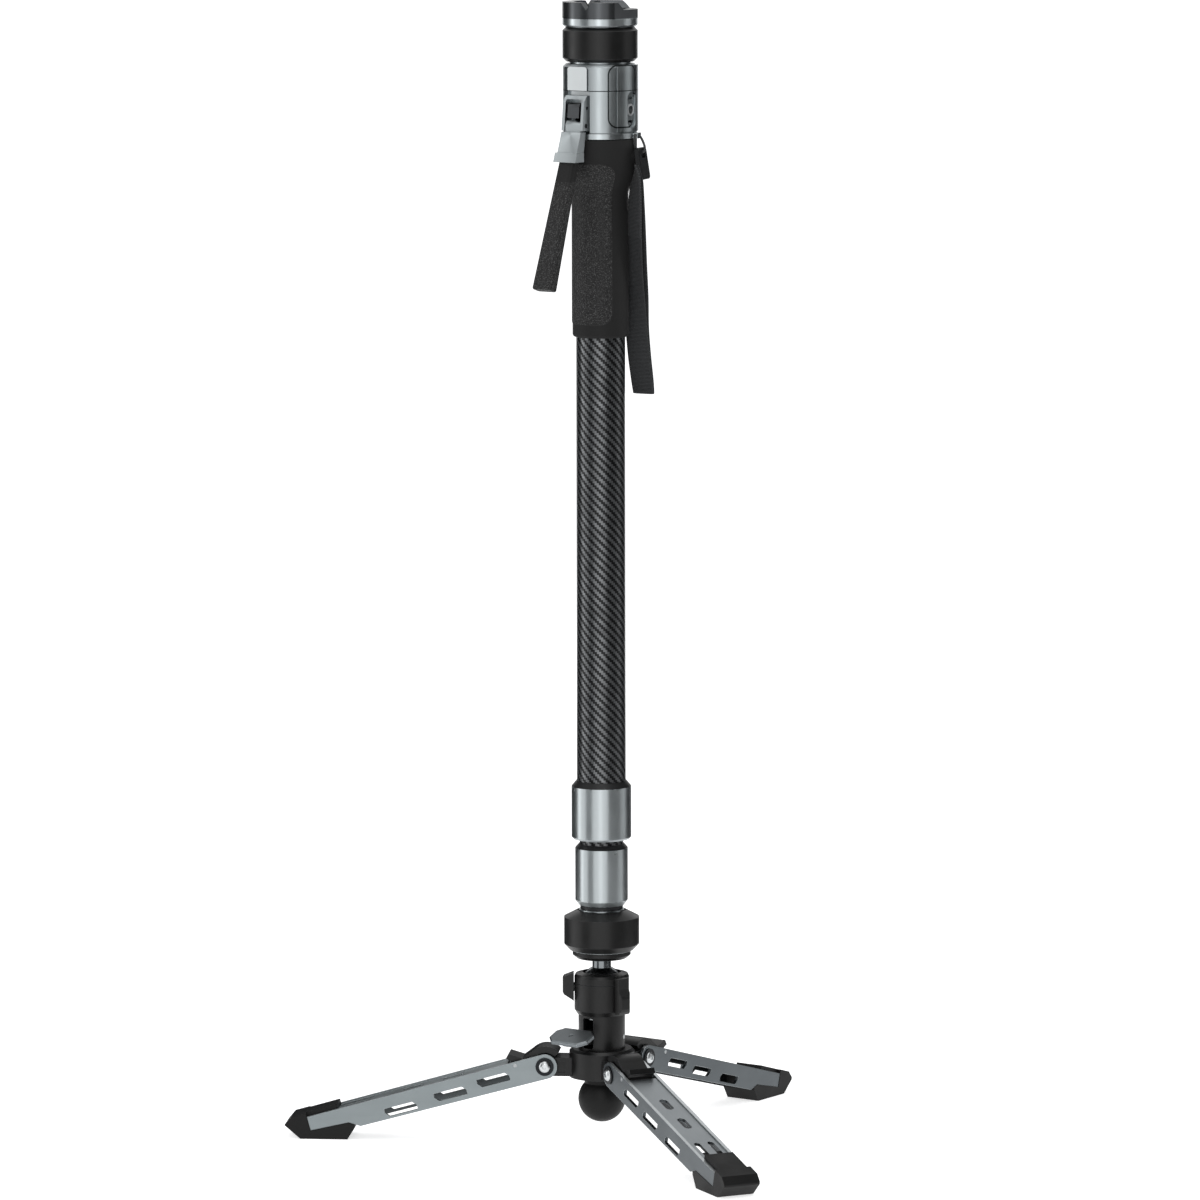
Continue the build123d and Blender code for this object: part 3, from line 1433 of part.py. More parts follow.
# Head cap: closes the head above the seam and carries the label pad
cap_bottom = head_seam + head_seam_gap
with BuildPart() as head_cap:
    with BuildSketch(Plane.XY.offset(cap_bottom)):
        Circle(head_radius)
    extrude(amount=head_cap_top - cap_bottom)
    chamfer(head_cap.edges().group_by(Axis.Z)[-1], length=head_cap_chamfer)
    with BuildSketch(Plane.XY.offset(cap_bottom)):
        Circle(panel_outer)
    panel_round = extrude(amount=head_cap_top - cap_bottom, mode=Mode.PRIVATE)
    with BuildSketch(facing_plane(port_azimuth, bracket_seat, 0)):
        with Locations((0, (panel_bottom + panel_top) / 2)):
            RectangleRounded(2 * panel_half_width, panel_top - panel_bottom, panel_corner)
    panel_block = extrude(amount=panel_outer, mode=Mode.PRIVATE)
    add(panel_round & panel_block)
    with BuildSketch(facing_plane(lever_azimuth, bracket_seat, 0)):
        with Locations((0, (label_bottom + label_top) / 2 + head_seam_gap)):
            RectangleRounded(2 * label_half_width, label_top - label_bottom, label_corner)
    label_block = extrude(amount=label_reach - bracket_seat, mode=Mode.PRIVATE)
    with BuildSketch(Plane.XY.offset(cap_bottom)):
        Circle(2 * head_radius)
    above_seam = extrude(amount=head_cap_top - cap_bottom, mode=Mode.PRIVATE)
    add(label_block & above_seam)
    with BuildSketch(Plane.XY.offset(cap_bottom)):
        Circle(cap_bore)
    extrude(amount=cap_roof - cap_bottom, mode=Mode.SUBTRACT)
finish(head_cap, "head_cap")

# Threaded insert in the accessory port
with BuildPart() as port_insert:
    with BuildSketch(facing_plane(port_azimuth, port_insert_inner, port_height)):
        Circle(port_insert_radius)
    extrude(amount=port_insert_face - port_insert_inner)
    with BuildSketch(facing_plane(port_azimuth, port_insert_face, port_height)):
        Circle(port_thread_radius)
    extrude(amount=-port_thread_depth, mode=Mode.SUBTRACT)
finish(port_insert, "port_insert")

# Lever bracket: a yoke on the head's flat, closed on top and open in front and below
lever_plane = side_plane(lever_azimuth)
inner_half_width = bracket_half_width - bracket_wall
with BuildPart() as lever_bracket:
    with BuildSketch(lever_plane):
        with BuildLine():
            Polyline(
                (bracket_seat, bracket_bottom),
                (bracket_foot_reach, bracket_bottom),
                (bracket_knee_reach, bracket_knee_height),
                (bracket_top_reach, bracket_top),
                (bracket_seat, bracket_top),
                close=True,
            )
        make_face()
    extrude(amount=bracket_half_width, both=True)
    knee_edges = lever_bracket.edges().filter_by(Axis((0, 0, 0), lever_plane.z_dir))
    fillet(knee_edges.group_by(Axis.Z)[1], radius=bracket_wall)
    with BuildSketch(lever_plane):
        with Locations((bracket_seat, bracket_bottom)):
            Rectangle(
                bracket_foot_reach,
                bracket_top - bracket_bridge - bracket_bottom,
                align=(Align.MIN, Align.MIN),
            )
    extrude(amount=inner_half_width, both=True, mode=Mode.SUBTRACT)
    with BuildSketch(lever_plane):
        with Locations((lever_pivot_radial, lever_pivot_height)):
            Circle(lever_pin_radius + fixed_fit)
        with Locations((toggle_pivot_radial, toggle_pivot_height)):
            Circle(toggle_pin_radius + fixed_fit)
    extrude(amount=bracket_half_width, both=True, mode=Mode.SUBTRACT)
finish(lever_bracket, "lever_bracket")

# Lever pin and toggle pin, pressed in the bracket's walls
with BuildPart() as lever_pins:
    with BuildSketch(lever_plane):
        with Locations((lever_pivot_radial, lever_pivot_height)):
            Circle(lever_pin_radius)
        with Locations((toggle_pivot_radial, toggle_pivot_height)):
            Circle(toggle_pin_radius)
    extrude(amount=bracket_half_width, both=True)
finish(lever_pins, "lever_pins")

# Squeeze lever: eye, block, band, a tang down into the grip and a nose under the rod
lever_run = lever_tip_radial - (lever_block_bottom_inner + lever_block_bottom_outer) / 2
lever_drop = lever_block_bottom - lever_tip_height
lever_reach = math.hypot(lever_run, lever_drop)
lever_slope = Vector(lever_run / lever_reach, -lever_drop / lever_reach)
lever_side = Vector(lever_drop / lever_reach, lever_run / lever_reach)
lever_root = Vector(
    (lever_block_bottom_inner + lever_block_bottom_outer) / 2, lever_block_bottom
)


def lever_point(along, across):
    """Point in the lever's side plane, measured down and across its handle."""
    spot = lever_root + lever_slope * along + lever_side * across
    return (spot.X, spot.Y)


tang_length = lever_reach * lever_tang_tip_share
tang_half = lever_tang_thickness / 2
block_run = lever_block_bottom_outer - lever_block_top_outer
block_drop = lever_block_top - lever_block_bottom
band_share = lever_band_height / block_drop
band_top_outer = lever_block_bottom_outer - block_run * band_share
with BuildPart() as lever_arm:
    with BuildSketch(lever_plane):
        with Locations((lever_pivot_radial, lever_pivot_height)):
            Circle(lever_eye_radius)
        with BuildLine():
            Polyline(
                (lever_pivot_radial - lever_eye_radius, lever_pivot_height),
                (lever_pivot_radial + lever_eye_radius, lever_pivot_height),
                (lever_block_top_outer - lever_eye_radius / 2, lever_block_top),
                (lever_block_top_inner, lever_block_top),
                close=True,
            )
        make_face()
        with BuildLine():
            Polyline(
                (lever_nose_inner, lever_nose_bottom),
                (lever_pivot_radial, lever_nose_bottom),
                (lever_pivot_radial, lever_nose_top),
                (lever_nose_inner, lever_nose_top),
                close=True,
            )
        make_face()
    extrude(amount=inner_half_width - lever_side_gap, both=True)
    with BuildSketch(lever_plane):
        with Locations((bracket_seat + lever_side_gap, lever_nose_bottom - overrun)):
            Rectangle(
                bracket_seat,
                lever_nose_top - lever_nose_bottom + 2 * overrun,
                align=(Align.MAX, Align.MIN),
            )
    nose_zone = extrude(amount=inner_half_width, both=True, mode=Mode.PRIVATE)
    with BuildSketch(lever_plane):
        with Locations((bracket_seat + lever_side_gap, lever_nose_bottom - overrun)):
            Rectangle(
                bracket_seat,
                lever_nose_top - lever_nose_bottom + 2 * overrun,
                align=(Align.MAX, Align.MIN),
            )
    nose_core = extrude(amount=lever_nose_half_width, both=True, mode=Mode.PRIVATE)
    add(nose_zone - nose_core, mode=Mode.SUBTRACT)
    with BuildSketch(lever_plane):
        with BuildLine():
            Polyline(
                (lever_block_top_inner, lever_block_top),
                (lever_block_top_outer, lever_block_top),
                (lever_block_bottom_outer, lever_block_bottom),
                (lever_block_bottom_inner, lever_block_bottom),
                close=True,
            )
        make_face()
    extrude(amount=lever_block_half_width, both=True)
    with BuildSketch(lever_plane):
        with BuildLine():
            Polyline(
                (lever_block_bottom_inner, lever_block_bottom + lever_band_height),
                (band_top_outer + lever_band_proud, lever_block_bottom + lever_band_height),
                (lever_block_bottom_outer + lever_band_proud, lever_block_bottom),
                (lever_block_bottom_inner, lever_block_bottom),
                close=True,
            )
        make_face()
    extrude(amount=lever_block_half_width + lever_band_proud, both=True)
    with BuildSketch(lever_plane):
        with BuildLine():
            Polyline(
                lever_point(-lever_tang_thickness, -tang_half),
                lever_point(tang_length, -tang_half),
                lever_point(tang_length, tang_half),
                lever_point(-lever_tang_thickness, tang_half),
                close=True,
            )
        make_face()
    extrude(amount=lever_tang_half_width, both=True)
    with BuildSketch(lever_plane):
        with Locations((lever_pivot_radial, lever_pivot_height)):
            Circle(lever_pin_radius + running_fit)
    extrude(amount=bracket_half_width, both=True, mode=Mode.SUBTRACT)
finish(lever_arm, "lever_arm")

# Rubber grip on the lever, wider and thicker towards its tip
with BuildPart() as lever_grip:
    grip_sections = [
        (0, lever_grip_top_thickness, lever_grip_top_half_width),
        (1, lever_grip_tip_thickness, lever_grip_tip_half_width),
    ]
    outward = radial_direction(lever_azimuth)
    handle_down = outward * lever_slope.X + Vector(0, 0, lever_slope.Y)
    sideways = Vector(0, 0, 1).cross(outward)
    for share, thickness, half_width in grip_sections:
        x, y = lever_point(share * (lever_reach + overrun) - overrun, 0)
        section_plane = Plane(
            origin=outward * x + Vector(0, 0, y), x_dir=sideways, z_dir=handle_down
        )
        with BuildSketch(section_plane):
            RectangleRounded(2 * half_width, thickness, lever_grip_fillet)
    loft()
    split(
        bisect_by=Plane.XY.offset(lever_block_bottom - fixed_fit), keep=Keep.BOTTOM
    )
    tip_face = lever_grip.faces().sort_by(Axis((0, 0, 0), (0, 0, 1)))[0]
    fillet(tip_face.edges(), radius=lever_grip_fillet / 2)
    with BuildSketch(lever_plane):
        with BuildLine():
            Polyline(
                lever_point(-2 * overrun, -tang_half - fixed_fit),
                lever_point(tang_length + fixed_fit, -tang_half - fixed_fit),
                lever_point(tang_length + fixed_fit, tang_half + fixed_fit),
                lever_point(-2 * overrun, tang_half + fixed_fit),
                close=True,
            )
        make_face()
    extrude(amount=lever_tang_half_width + fixed_fit, both=True, mode=Mode.SUBTRACT)
finish(lever_grip, "lever_grip")

# Lock toggle: a small catch in the bracket's window
with BuildPart() as lock_toggle:
    with BuildSketch(lever_plane):
        with Locations((toggle_pivot_radial, toggle_pivot_height)):
            Circle(toggle_radius)
        with BuildLine():
            Polyline(
                (toggle_pivot_radial, toggle_pivot_height + toggle_radius),
                (toggle_pivot_radial + toggle_radius, toggle_pivot_height),
                (toggle_tail_reach, toggle_tail_height),
                (toggle_tail_reach - toggle_radius / 2, toggle_tail_height),
                (toggle_pivot_radial, toggle_pivot_height - toggle_radius),
                close=True,
            )
        make_face()
        with Locations((toggle_pivot_radial, toggle_pivot_height)):
            Circle(toggle_pin_radius + running_fit, mode=Mode.SUBTRACT)
    extrude(amount=toggle_half_width, both=True)
finish(lock_toggle, "lock_toggle")

# Release rod inside the column, lifted by the lever's nose
with BuildPart() as release_rod:
    with BuildSketch(Plane.XY.offset(rod_bottom)):
        Circle(rod_radius)
    extrude(amount=rod_top - rod_bottom)
    with BuildSketch(Plane.XY.offset(rod_flange_bottom)):
        Circle(rod_flange_radius)
    extrude(amount=rod_flange_thickness)
    chamfer(release_rod.edges().group_by(Axis.Z)[0], length=rod_radius / 3)
finish(release_rod, "release_rod")

# Head flange: the core inside the lock band and the plate above it
with BuildPart() as head_flange:
    with BuildSketch(Plane.XY.offset(core_bottom)):
        Circle(core_radius)
    extrude(amount=flange_bottom - core_bottom)
    with BuildSketch(Plane.XZ):
        with BuildLine():
            Polyline(
                (0, flange_bottom),
                (band_radius - flange_edge, flange_bottom),
                (band_radius, flange_bottom + flange_edge),
                (band_radius, flange_top),
                (0, flange_top),
                close=True,
            )
        make_face()
    revolve(axis=Axis.Z)
finish(head_flange, "head_flange")

# Lock band: turns on the core
with BuildPart() as lock_band:
    with BuildSketch(Plane.XZ):
        with BuildLine():
            Polyline(
                (core_radius + running_fit, band_bottom),
                (band_end_radius, band_bottom),
                (band_radius, band_low_shoulder),
                (band_radius, band_high_shoulder),
                (band_end_radius, band_top),
                (core_radius + running_fit, band_top),
                close=True,
            )
        make_face()
    revolve(axis=Axis.Z)
finish(lock_band, "lock_band")

# Claw plate: a ring of three claws around an open socket
gap_root = claw_radius * math.sin(math.radians(claw_gap_half_angle))
claw_rise = claw_top - claw_root
with BuildPart() as claw_plate:
    with BuildSketch(Plane.XY.offset(flange_top)):
        Circle(claw_radius)
    extrude(amount=claw_top - flange_top)
    with BuildSketch(Plane.XY.offset(claw_socket_floor)):
        Circle(claw_socket_radius)
    extrude(amount=claw_top - claw_socket_floor, mode=Mode.SUBTRACT)
    for notch_azimuth in claw_notch_azimuths:
        with BuildSketch(facing_plane(notch_azimuth, 0, 0)):
            with BuildLine():
                Polyline(
                    (0, claw_root),
                    (claw_notch_top_half, claw_top),
                    (claw_notch_top_half, claw_top + overrun),
                    (-claw_notch_top_half, claw_top + overrun),
                    (-claw_notch_top_half, claw_top),
                    close=True,
                )
            make_face()
        extrude(amount=claw_radius + overrun, mode=Mode.SUBTRACT)
    with BuildSketch(facing_plane(0, 0, 0)):
        with BuildLine():
            Polyline(
                (-gap_root, claw_root),
                (gap_root, claw_root),
                (gap_root + claw_slope_run, claw_top),
                (gap_root + claw_slope_run, claw_top + overrun),
                (-gap_root - claw_slope_run, claw_top + overrun),
                (-gap_root - claw_slope_run, claw_top),
                close=True,
            )
        make_face()
    extrude(amount=claw_radius + overrun, mode=Mode.SUBTRACT)
    with BuildSketch(facing_plane(claw_facet_azimuth, claw_facet_radial, flange_top)):
        Rectangle(
            2 * claw_radius,
            claw_top - flange_top + overrun,
            align=(Align.CENTER, Align.MIN),
        )
    extrude(amount=claw_radius, mode=Mode.SUBTRACT)
finish(claw_plate, "claw_plate")

# Buckle: a flat bar of a frame, leaning, with a hole for the cord near its top
strap_out = radial_direction(strap_azimuth)
strap_side = Vector(0, 0, 1).cross(strap_out)
buckle_tilt = math.radians(buckle_lean)
buckle_plane = Plane(
    origin=strap_out * buckle_radial + Vector(0, 0, buckle_middle),
    x_dir=strap_side,
    z_dir=strap_out * math.cos(buckle_tilt) + Vector(0, 0, math.sin(buckle_tilt)),
)
hole_top = buckle_height / 2 - buckle_bar
with BuildPart() as strap_buckle:
    with BuildSketch(buckle_plane.offset(-buckle_thickness / 2)):
        RectangleRounded(buckle_width, buckle_height, buckle_corner)
        with Locations((0, hole_top - buckle_hole_height / 2)):
            RectangleRounded(
                buckle_hole_width,
                buckle_hole_height,
                buckle_hole_height / 3,
                mode=Mode.SUBTRACT,
            )
    extrude(amount=buckle_thickness)
    front_face = strap_buckle.faces().sort_by(Axis(buckle_plane.origin, buckle_plane.z_dir))
    chamfer(front_face[-1].outer_wire().edges(), length=buckle_thickness / 6)
finish(strap_buckle, "strap_buckle")

# Cord loop: round the buckle's top bar, its two ends meeting inside the lug's eye
cord_gap = cord_radius + free_gap
cord_side = strap_lug_half_width + cord_gap + cord_bend_gap
cord_out = buckle_thickness / 2 + cord_gap
cord_low = hole_top - cord_gap


def eye_point(side, drop):
    """Point beside the lug, from its sideways place and its drop below the eye."""
    return strap_out * strap_eye_radial + strap_side * side + Vector(0, 0, ring_middle - drop)


def bar_point(side, up, out):
    """Point near the buckle's top bar, in the buckle's own directions."""
    return buckle_plane.origin + buckle_plane.x_dir * side + buckle_plane.y_dir * up + (
        buckle_plane.z_dir * out
    )


cord_points = [
    eye_point(fixed_fit, 0),
    eye_point(cord_side, 0),
    bar_point(cord_side / 2, buckle_height / 2 + cord_radius, cord_out),
    bar_point(0, cord_low, cord_out),
    bar_point(0, cord_low, -cord_out),
    bar_point(-cord_side / 2, buckle_height / 2 + cord_radius, -cord_out),
    eye_point(-cord_side, 0),
    eye_point(-fixed_fit, 0),
]
with BuildPart() as strap_cord:
    with BuildLine():
        FilletPolyline(*cord_points, radius=cord_turn)
    with BuildSketch(Plane(origin=cord_points[0], z_dir=strap_side)):
        Circle(cord_radius)
    sweep()
finish(strap_cord, "strap_cord")

# Webbing: a doubled band that twists as it hangs beside the grip
with BuildPart() as strap_webbing:
    for drop, x, y, facing, thickness in strap_stations:
        back_way = -radial_direction(facing) * (thickness - strap_layer) / 2
        centre = (x + back_way.X, y + back_way.Y)
        with BuildSketch(Plane.XY.offset(strap_ring_bottom - drop)):
            with Locations(Location((*centre, 0), (0, 0, facing))):
                RectangleRounded(thickness, strap_width, thickness * strap_edge_share)
    loft()
finish(strap_webbing, "strap_webbing")
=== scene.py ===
import json
import math

import bmesh
import bpy
import numpy as np
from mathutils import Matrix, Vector


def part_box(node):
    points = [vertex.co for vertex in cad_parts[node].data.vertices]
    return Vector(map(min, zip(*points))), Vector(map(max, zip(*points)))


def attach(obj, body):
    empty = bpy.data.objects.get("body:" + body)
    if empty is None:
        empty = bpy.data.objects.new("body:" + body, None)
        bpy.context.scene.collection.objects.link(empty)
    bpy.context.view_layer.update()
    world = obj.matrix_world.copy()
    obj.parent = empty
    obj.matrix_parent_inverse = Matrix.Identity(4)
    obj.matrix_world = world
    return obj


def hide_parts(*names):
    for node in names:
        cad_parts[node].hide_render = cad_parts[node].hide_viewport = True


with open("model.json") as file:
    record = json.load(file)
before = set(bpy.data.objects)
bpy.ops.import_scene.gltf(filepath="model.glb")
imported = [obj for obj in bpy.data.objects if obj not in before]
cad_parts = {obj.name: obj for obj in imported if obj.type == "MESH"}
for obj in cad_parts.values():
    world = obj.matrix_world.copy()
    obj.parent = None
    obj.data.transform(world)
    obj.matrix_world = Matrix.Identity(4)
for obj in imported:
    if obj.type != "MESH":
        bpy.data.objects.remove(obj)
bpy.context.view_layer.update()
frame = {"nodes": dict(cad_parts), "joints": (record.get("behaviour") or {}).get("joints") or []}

# A camera monopod, closed, standing on its three-legged base. Metres, +Z up,
# the floor point under the column at the origin. Azimuths are from +X towards +Y.

# The camera: a long lens about 4.8 m in front, a little above the object's middle
# and looking down by seven degrees.
camera_data = bpy.data.cameras.new("camera")
camera_data.sensor_width = 36.0
camera_data.lens = 220.03
camera = bpy.data.objects.new("camera", camera_data)
camera.location = (-0.00065, -4.76715, 0.966197)
look_down, camera_roll, look_aside = 7.2506, 0.1, -0.0121
camera_turns = (90 - look_down, camera_roll, look_aside)
camera.rotation_euler = tuple(math.radians(turn) for turn in camera_turns)
bpy.context.scene.collection.objects.link(camera)
bpy.context.scene.camera = camera
bpy.context.scene.view_settings.view_transform = "Standard"

# The studio: a wide pale floor, a white world behind it and four soft lamps, which
# leave the upright light bands that turned and laid-up tubes show. Six dark cards
# stand round the object and put the dark bands between them.


def add_node(tree, kind, settings=None, **links):
    """A shader node with its settings, its inputs set to values or linked.

    in0 to in9 name an input by its number. A link starts at a socket, or at the first
    output of a node.
    """
    node = tree.nodes.new(kind)
    for name, value in (settings or {}).items():
        setattr(node, name, value)
    for name, value in links.items():
        if name.startswith("in") and name[2:].isdigit():
            socket = node.inputs[int(name[2:])]
        else:
            socket = node.inputs[name.replace("_", " ")]
        if isinstance(value, bpy.types.Node):
            value = value.outputs[0]
        if isinstance(value, bpy.types.NodeSocket):
            tree.links.new(value, socket)
        else:
            socket.default_value = value
    return node


def colour(hex_text):
    """An sRGB hex colour as linear red, green, blue and alpha."""
    parts = [int(hex_text[i : i + 2], 16) / 255 for i in (1, 3, 5)]
    linear = [c / 12.92 if c <= 0.04045 else ((c + 0.055) / 1.055) ** 2.4 for c in parts]
    return (*linear, 1.0)


world = bpy.data.worlds.new("studio")
bpy.context.scene.world = world
world.use_nodes = True
sky = world.node_tree
sky.nodes.clear()
rays = add_node(sky, "ShaderNodeLightPath")
mirror_rays = add_node(
    sky, "ShaderNodeMath", {"operation": "MAXIMUM"},
    in0=rays.outputs["Is Glossy Ray"], in1=rays.outputs["Is Transmission Ray"],
)
plain_rays = add_node(
    sky, "ShaderNodeMath", {"operation": "MAXIMUM"},
    in0=rays.outputs["Is Camera Ray"], in1=mirror_rays,
)
fill = add_node(sky, "ShaderNodeBackground", Color=colour("#f6f7f8"), Strength=0.7)
backdrop = add_node(sky, "ShaderNodeBackground", Color=colour("#ffffff"), Strength=1.0)
mixed = add_node(sky, "ShaderNodeMixShader", in0=plain_rays, in1=fill, in2=backdrop)
add_node(sky, "ShaderNodeOutputWorld", Surface=mixed)


def new_material(name):
    """A node material with nothing in it yet, and its tree."""
    material = bpy.data.materials.new(name)
    material.use_nodes = True
    material.node_tree.nodes.clear()
    return material, material.node_tree


floor_size = 40.0
floor_drop = 0.0002
floor_mesh = bpy.data.meshes.new("floor")
floor_corners = [(-1, -1), (1, -1), (1, 1), (-1, 1)]
floor_mesh.from_pydata(
    [(x * floor_size / 2, y * floor_size / 2, -floor_drop) for x, y in floor_corners],
    [],
    [(0, 1, 2, 3)],
)
floor = bpy.data.objects.new("floor", floor_mesh)
bpy.context.scene.collection.objects.link(floor)
# White paper: matt, lit by the lamps so that it keeps the object's soft shadow
paper, tree = new_material("white studio paper")
sheet = add_node(tree, "ShaderNodeBsdfDiffuse", Color=colour("#f4f4f4"))
glow = add_node(tree, "ShaderNodeEmission", Color=colour("#ffffff"), Strength=0.62)
both = add_node(tree, "ShaderNodeAddShader", in0=sheet, in1=glow)
add_node(tree, "ShaderNodeOutputMaterial", Surface=both)
floor_mesh.materials.append(paper)

lamp_aim_height = 0.38


def soft_lamp(name, azimuth, distance, height, width, tall, watts):
    """A rectangular lamp that stands at an azimuth and faces the middle of the column."""
    lamp = bpy.data.lights.new(name, "AREA")
    lamp.shape = "RECTANGLE"
    lamp.size = width
    lamp.size_y = tall
    lamp.energy = watts
    stand = bpy.data.objects.new(name, lamp)
    angle = math.radians(azimuth)
    stand.location = (distance * math.cos(angle), distance * math.sin(angle), height)
    tilt = math.atan2(distance, height - lamp_aim_height)
    stand.rotation_euler = (tilt, 0, angle + math.pi / 2)
    bpy.context.scene.collection.objects.link(stand)


soft_lamp("front lamp", azimuth=-94, distance=2.6, height=1.5, width=0.6, tall=1.8, watts=10)
soft_lamp("left lamp", azimuth=-184, distance=2.2, height=0.9, width=0.35, tall=1.8, watts=6)
soft_lamp("right lamp", azimuth=8, distance=2.4, height=0.9, width=0.45, tall=1.8, watts=8)
soft_lamp("top lamp", azimuth=-90, distance=0.6, height=2.6, width=1.2, tall=1.2, watts=10)

card_height = 0.9
card_distance = 0.44


def dark_card(name, azimuth, width, tone, tall=card_height):
    """A card that stands on the floor at an azimuth. Only reflections show it."""
    angle = math.radians(azimuth)
    middle = Vector((card_distance * math.cos(angle), card_distance * math.sin(angle), 0))
    side = Vector((-math.sin(angle), math.cos(angle), 0)) * width / 2
    rise = Vector((0, 0, tall))
    mesh = bpy.data.meshes.new(name)
    mesh.from_pydata(
        [middle - side, middle + side, middle + side + rise, middle - side + rise],
        [],
        [(0, 1, 2, 3)],
    )
    felt, tree = new_material(name)
    dull = add_node(tree, "ShaderNodeEmission", Color=colour(tone), Strength=1.0)
    add_node(tree, "ShaderNodeOutputMaterial", Surface=dull)
    mesh.materials.append(felt)
    card = bpy.data.objects.new(name, mesh)
    bpy.context.scene.collection.objects.link(card)
    card.visible_camera = False
    card.visible_diffuse = False
    card.visible_shadow = False


dark_card("right front card", azimuth=-37, width=0.46, tone="#1e2021")
dark_card("right middle card", azimuth=2, width=0.14, tone="#3c3f41")
dark_card("right rear card", azimuth=36, width=0.40, tone="#2c2e30")
dark_card("low rear card", azimuth=90, width=0.46, tone="#2c2e30", tall=0.22)
dark_card("left front card", azimuth=-139, width=0.21, tone="#5c6062")
dark_card("left rear card", azimuth=141, width=0.38, tone="#3c3f41")

# Ball foot: a rubber ball moulded round a steel stud that screws into the hub.
# Natural rubber, filled with soot: almost black, with a broad dull sheen.


def dress(material, *names):
    """Gives a material to the CAD nodes of these names."""
    for name in names:
        node = frame["nodes"][name]
        for place in node.material_slots:
            place.material = material


def paint_glints(tree, place, base, where):
    """A base colour with fine pale specks on it, where a mask is 1: painted glints that stand for
    highlights on pebbled rubber.
    """
    speck = add_node(tree, "ShaderNodeTexNoise", Vector=place, Scale=1500.0, Detail=1.0)
    glint = add_node(tree, "ShaderNodeMapRange", in0=speck, in1=0.5, in2=0.72)
    share = add_node(tree, "ShaderNodeMath", {"operation": "MULTIPLY"}, in0=glint, in1=where)
    return add_node(tree, "ShaderNodeMixRGB", in0=share, in1=base, in2=colour("#4a4a4a"))


def moulded_rubber(name, hex_text, grain, depth, roughness, glints_below=None):
    """Vulcanised rubber: a fine grain from the mould, sizes in metres.

    Below a given height, pale specks are painted in its pebbled skin: painted glints that stand for
    highlights on the pebbles.
    """
    material, tree = new_material(name)
    place = add_node(tree, "ShaderNodeTexCoord").outputs["Object"]
    cells = add_node(tree, "ShaderNodeTexVoronoi", Vector=place, Scale=1 / grain)
    blotch = add_node(tree, "ShaderNodeTexNoise", Vector=place, Scale=60.0, Detail=3.0)
    tone = add_node(
        tree, "ShaderNodeMixRGB", {"blend_type": "MULTIPLY"},
        in0=0.25, in1=colour(hex_text), in2=blotch,
    )
    if glints_below:
        height = add_node(tree, "ShaderNodeSeparateXYZ", Vector=place).outputs["Z"]
        low = add_node(
            tree, "ShaderNodeMath", {"operation": "LESS_THAN"}, in0=height, in1=glints_below,
        )
        tone = paint_glints(tree, place, tone, low)
    relief = add_node(
        tree, "ShaderNodeBump", {"invert": True},
        Strength=0.6, Distance=depth, Height=cells.outputs["Distance"],
    )
    shine = add_node(
        tree, "ShaderNodeMapRange",
        in0=blotch, in1=0.3, in2=0.7, in3=roughness - 0.06, in4=roughness + 0.06,
    )
    skin = add_node(
        tree, "ShaderNodeBsdfPrincipled", Base_Color=tone, Roughness=shine, Normal=relief,
    )
    skin.inputs["Specular IOR Level"].default_value = 0.16
    add_node(tree, "ShaderNodeOutputMaterial", Surface=skin)
    return material


foot_rubber = moulded_rubber(
    "vulcanised rubber", "#1a1a1a", grain=0.0006, depth=0.00003, roughness=0.5,
)
dress(foot_rubber, "foot_ball", "leg_foot_left", "leg_foot_front", "leg_foot_back")

# Hub, pedestal tube and ball head: turned and milled aluminium, black anodised.
# The oxide is dark and hard: it shows broad soft streaks, and its edges are painted paler, partly as
# wear and partly as a painted highlight.

turning_pitch = 0.0002
milled_edge = 0.0004


def worn_and_highlit_edges(tree, radius, most):
    """A normal rounded at the edges, and a share from 0 to most along them.

    The share grows as the rounded normal turns away from the face's own. It paints the
    edges paler: partly wear, partly a painted highlight on the rounded edge.
    """
    rounded = add_node(tree, "ShaderNodeBevel", {"samples": 4}, Radius=radius)
    flat = add_node(tree, "ShaderNodeNewGeometry").outputs["Normal"]
    bend = add_node(
        tree, "ShaderNodeVectorMath", {"operation": "DOT_PRODUCT"}, in0=rounded, in1=flat,
    )
    worn = add_node(
        tree, "ShaderNodeMapRange",
        in0=bend.outputs["Value"], in1=0.985, in2=0.88, in3=0.0, in4=most,
    )
    return rounded, worn


def black_anodised(name, hex_text, roughness, wear_and_highlight_hex):
    """Black anodised aluminium: fine turning lines round Z, and edges painted paler, partly as wear
    and partly as a painted highlight.
    """
    material, tree = new_material(name)
    place = add_node(tree, "ShaderNodeTexCoord").outputs["Object"]
    stretch = add_node(
        tree, "ShaderNodeMapping", Vector=place, Scale=(300.0, 300.0, 1 / turning_pitch),
    )
    lines = add_node(tree, "ShaderNodeTexNoise", Vector=stretch, Scale=1.0, Detail=2.0)
    cloud = add_node(tree, "ShaderNodeTexNoise", Vector=place, Scale=90.0, Detail=4.0)
    rounded, worn = worn_and_highlit_edges(tree, milled_edge, 0.7)
    # Paler edges: partly wear, partly a painted highlight along the rounded edges.
    tone = add_node(
        tree, "ShaderNodeMixRGB", in0=worn, in1=colour(hex_text), in2=colour(wear_and_highlight_hex),
    )
    relief = add_node(
        tree, "ShaderNodeBump", Strength=0.12, Distance=0.00002, Height=lines, Normal=rounded,
    )
    shine = add_node(
        tree, "ShaderNodeMapRange",
        in0=cloud, in1=0.3, in2=0.7, in3=roughness - 0.05, in4=roughness + 0.05,
    )
    skin = add_node(
        tree, "ShaderNodeBsdfPrincipled", Base_Color=tone, Roughness=shine, Normal=relief,
    )
    skin.inputs["Specular IOR Level"].default_value = 0.3
    add_node(tree, "ShaderNodeOutputMaterial", Surface=skin)
    return material


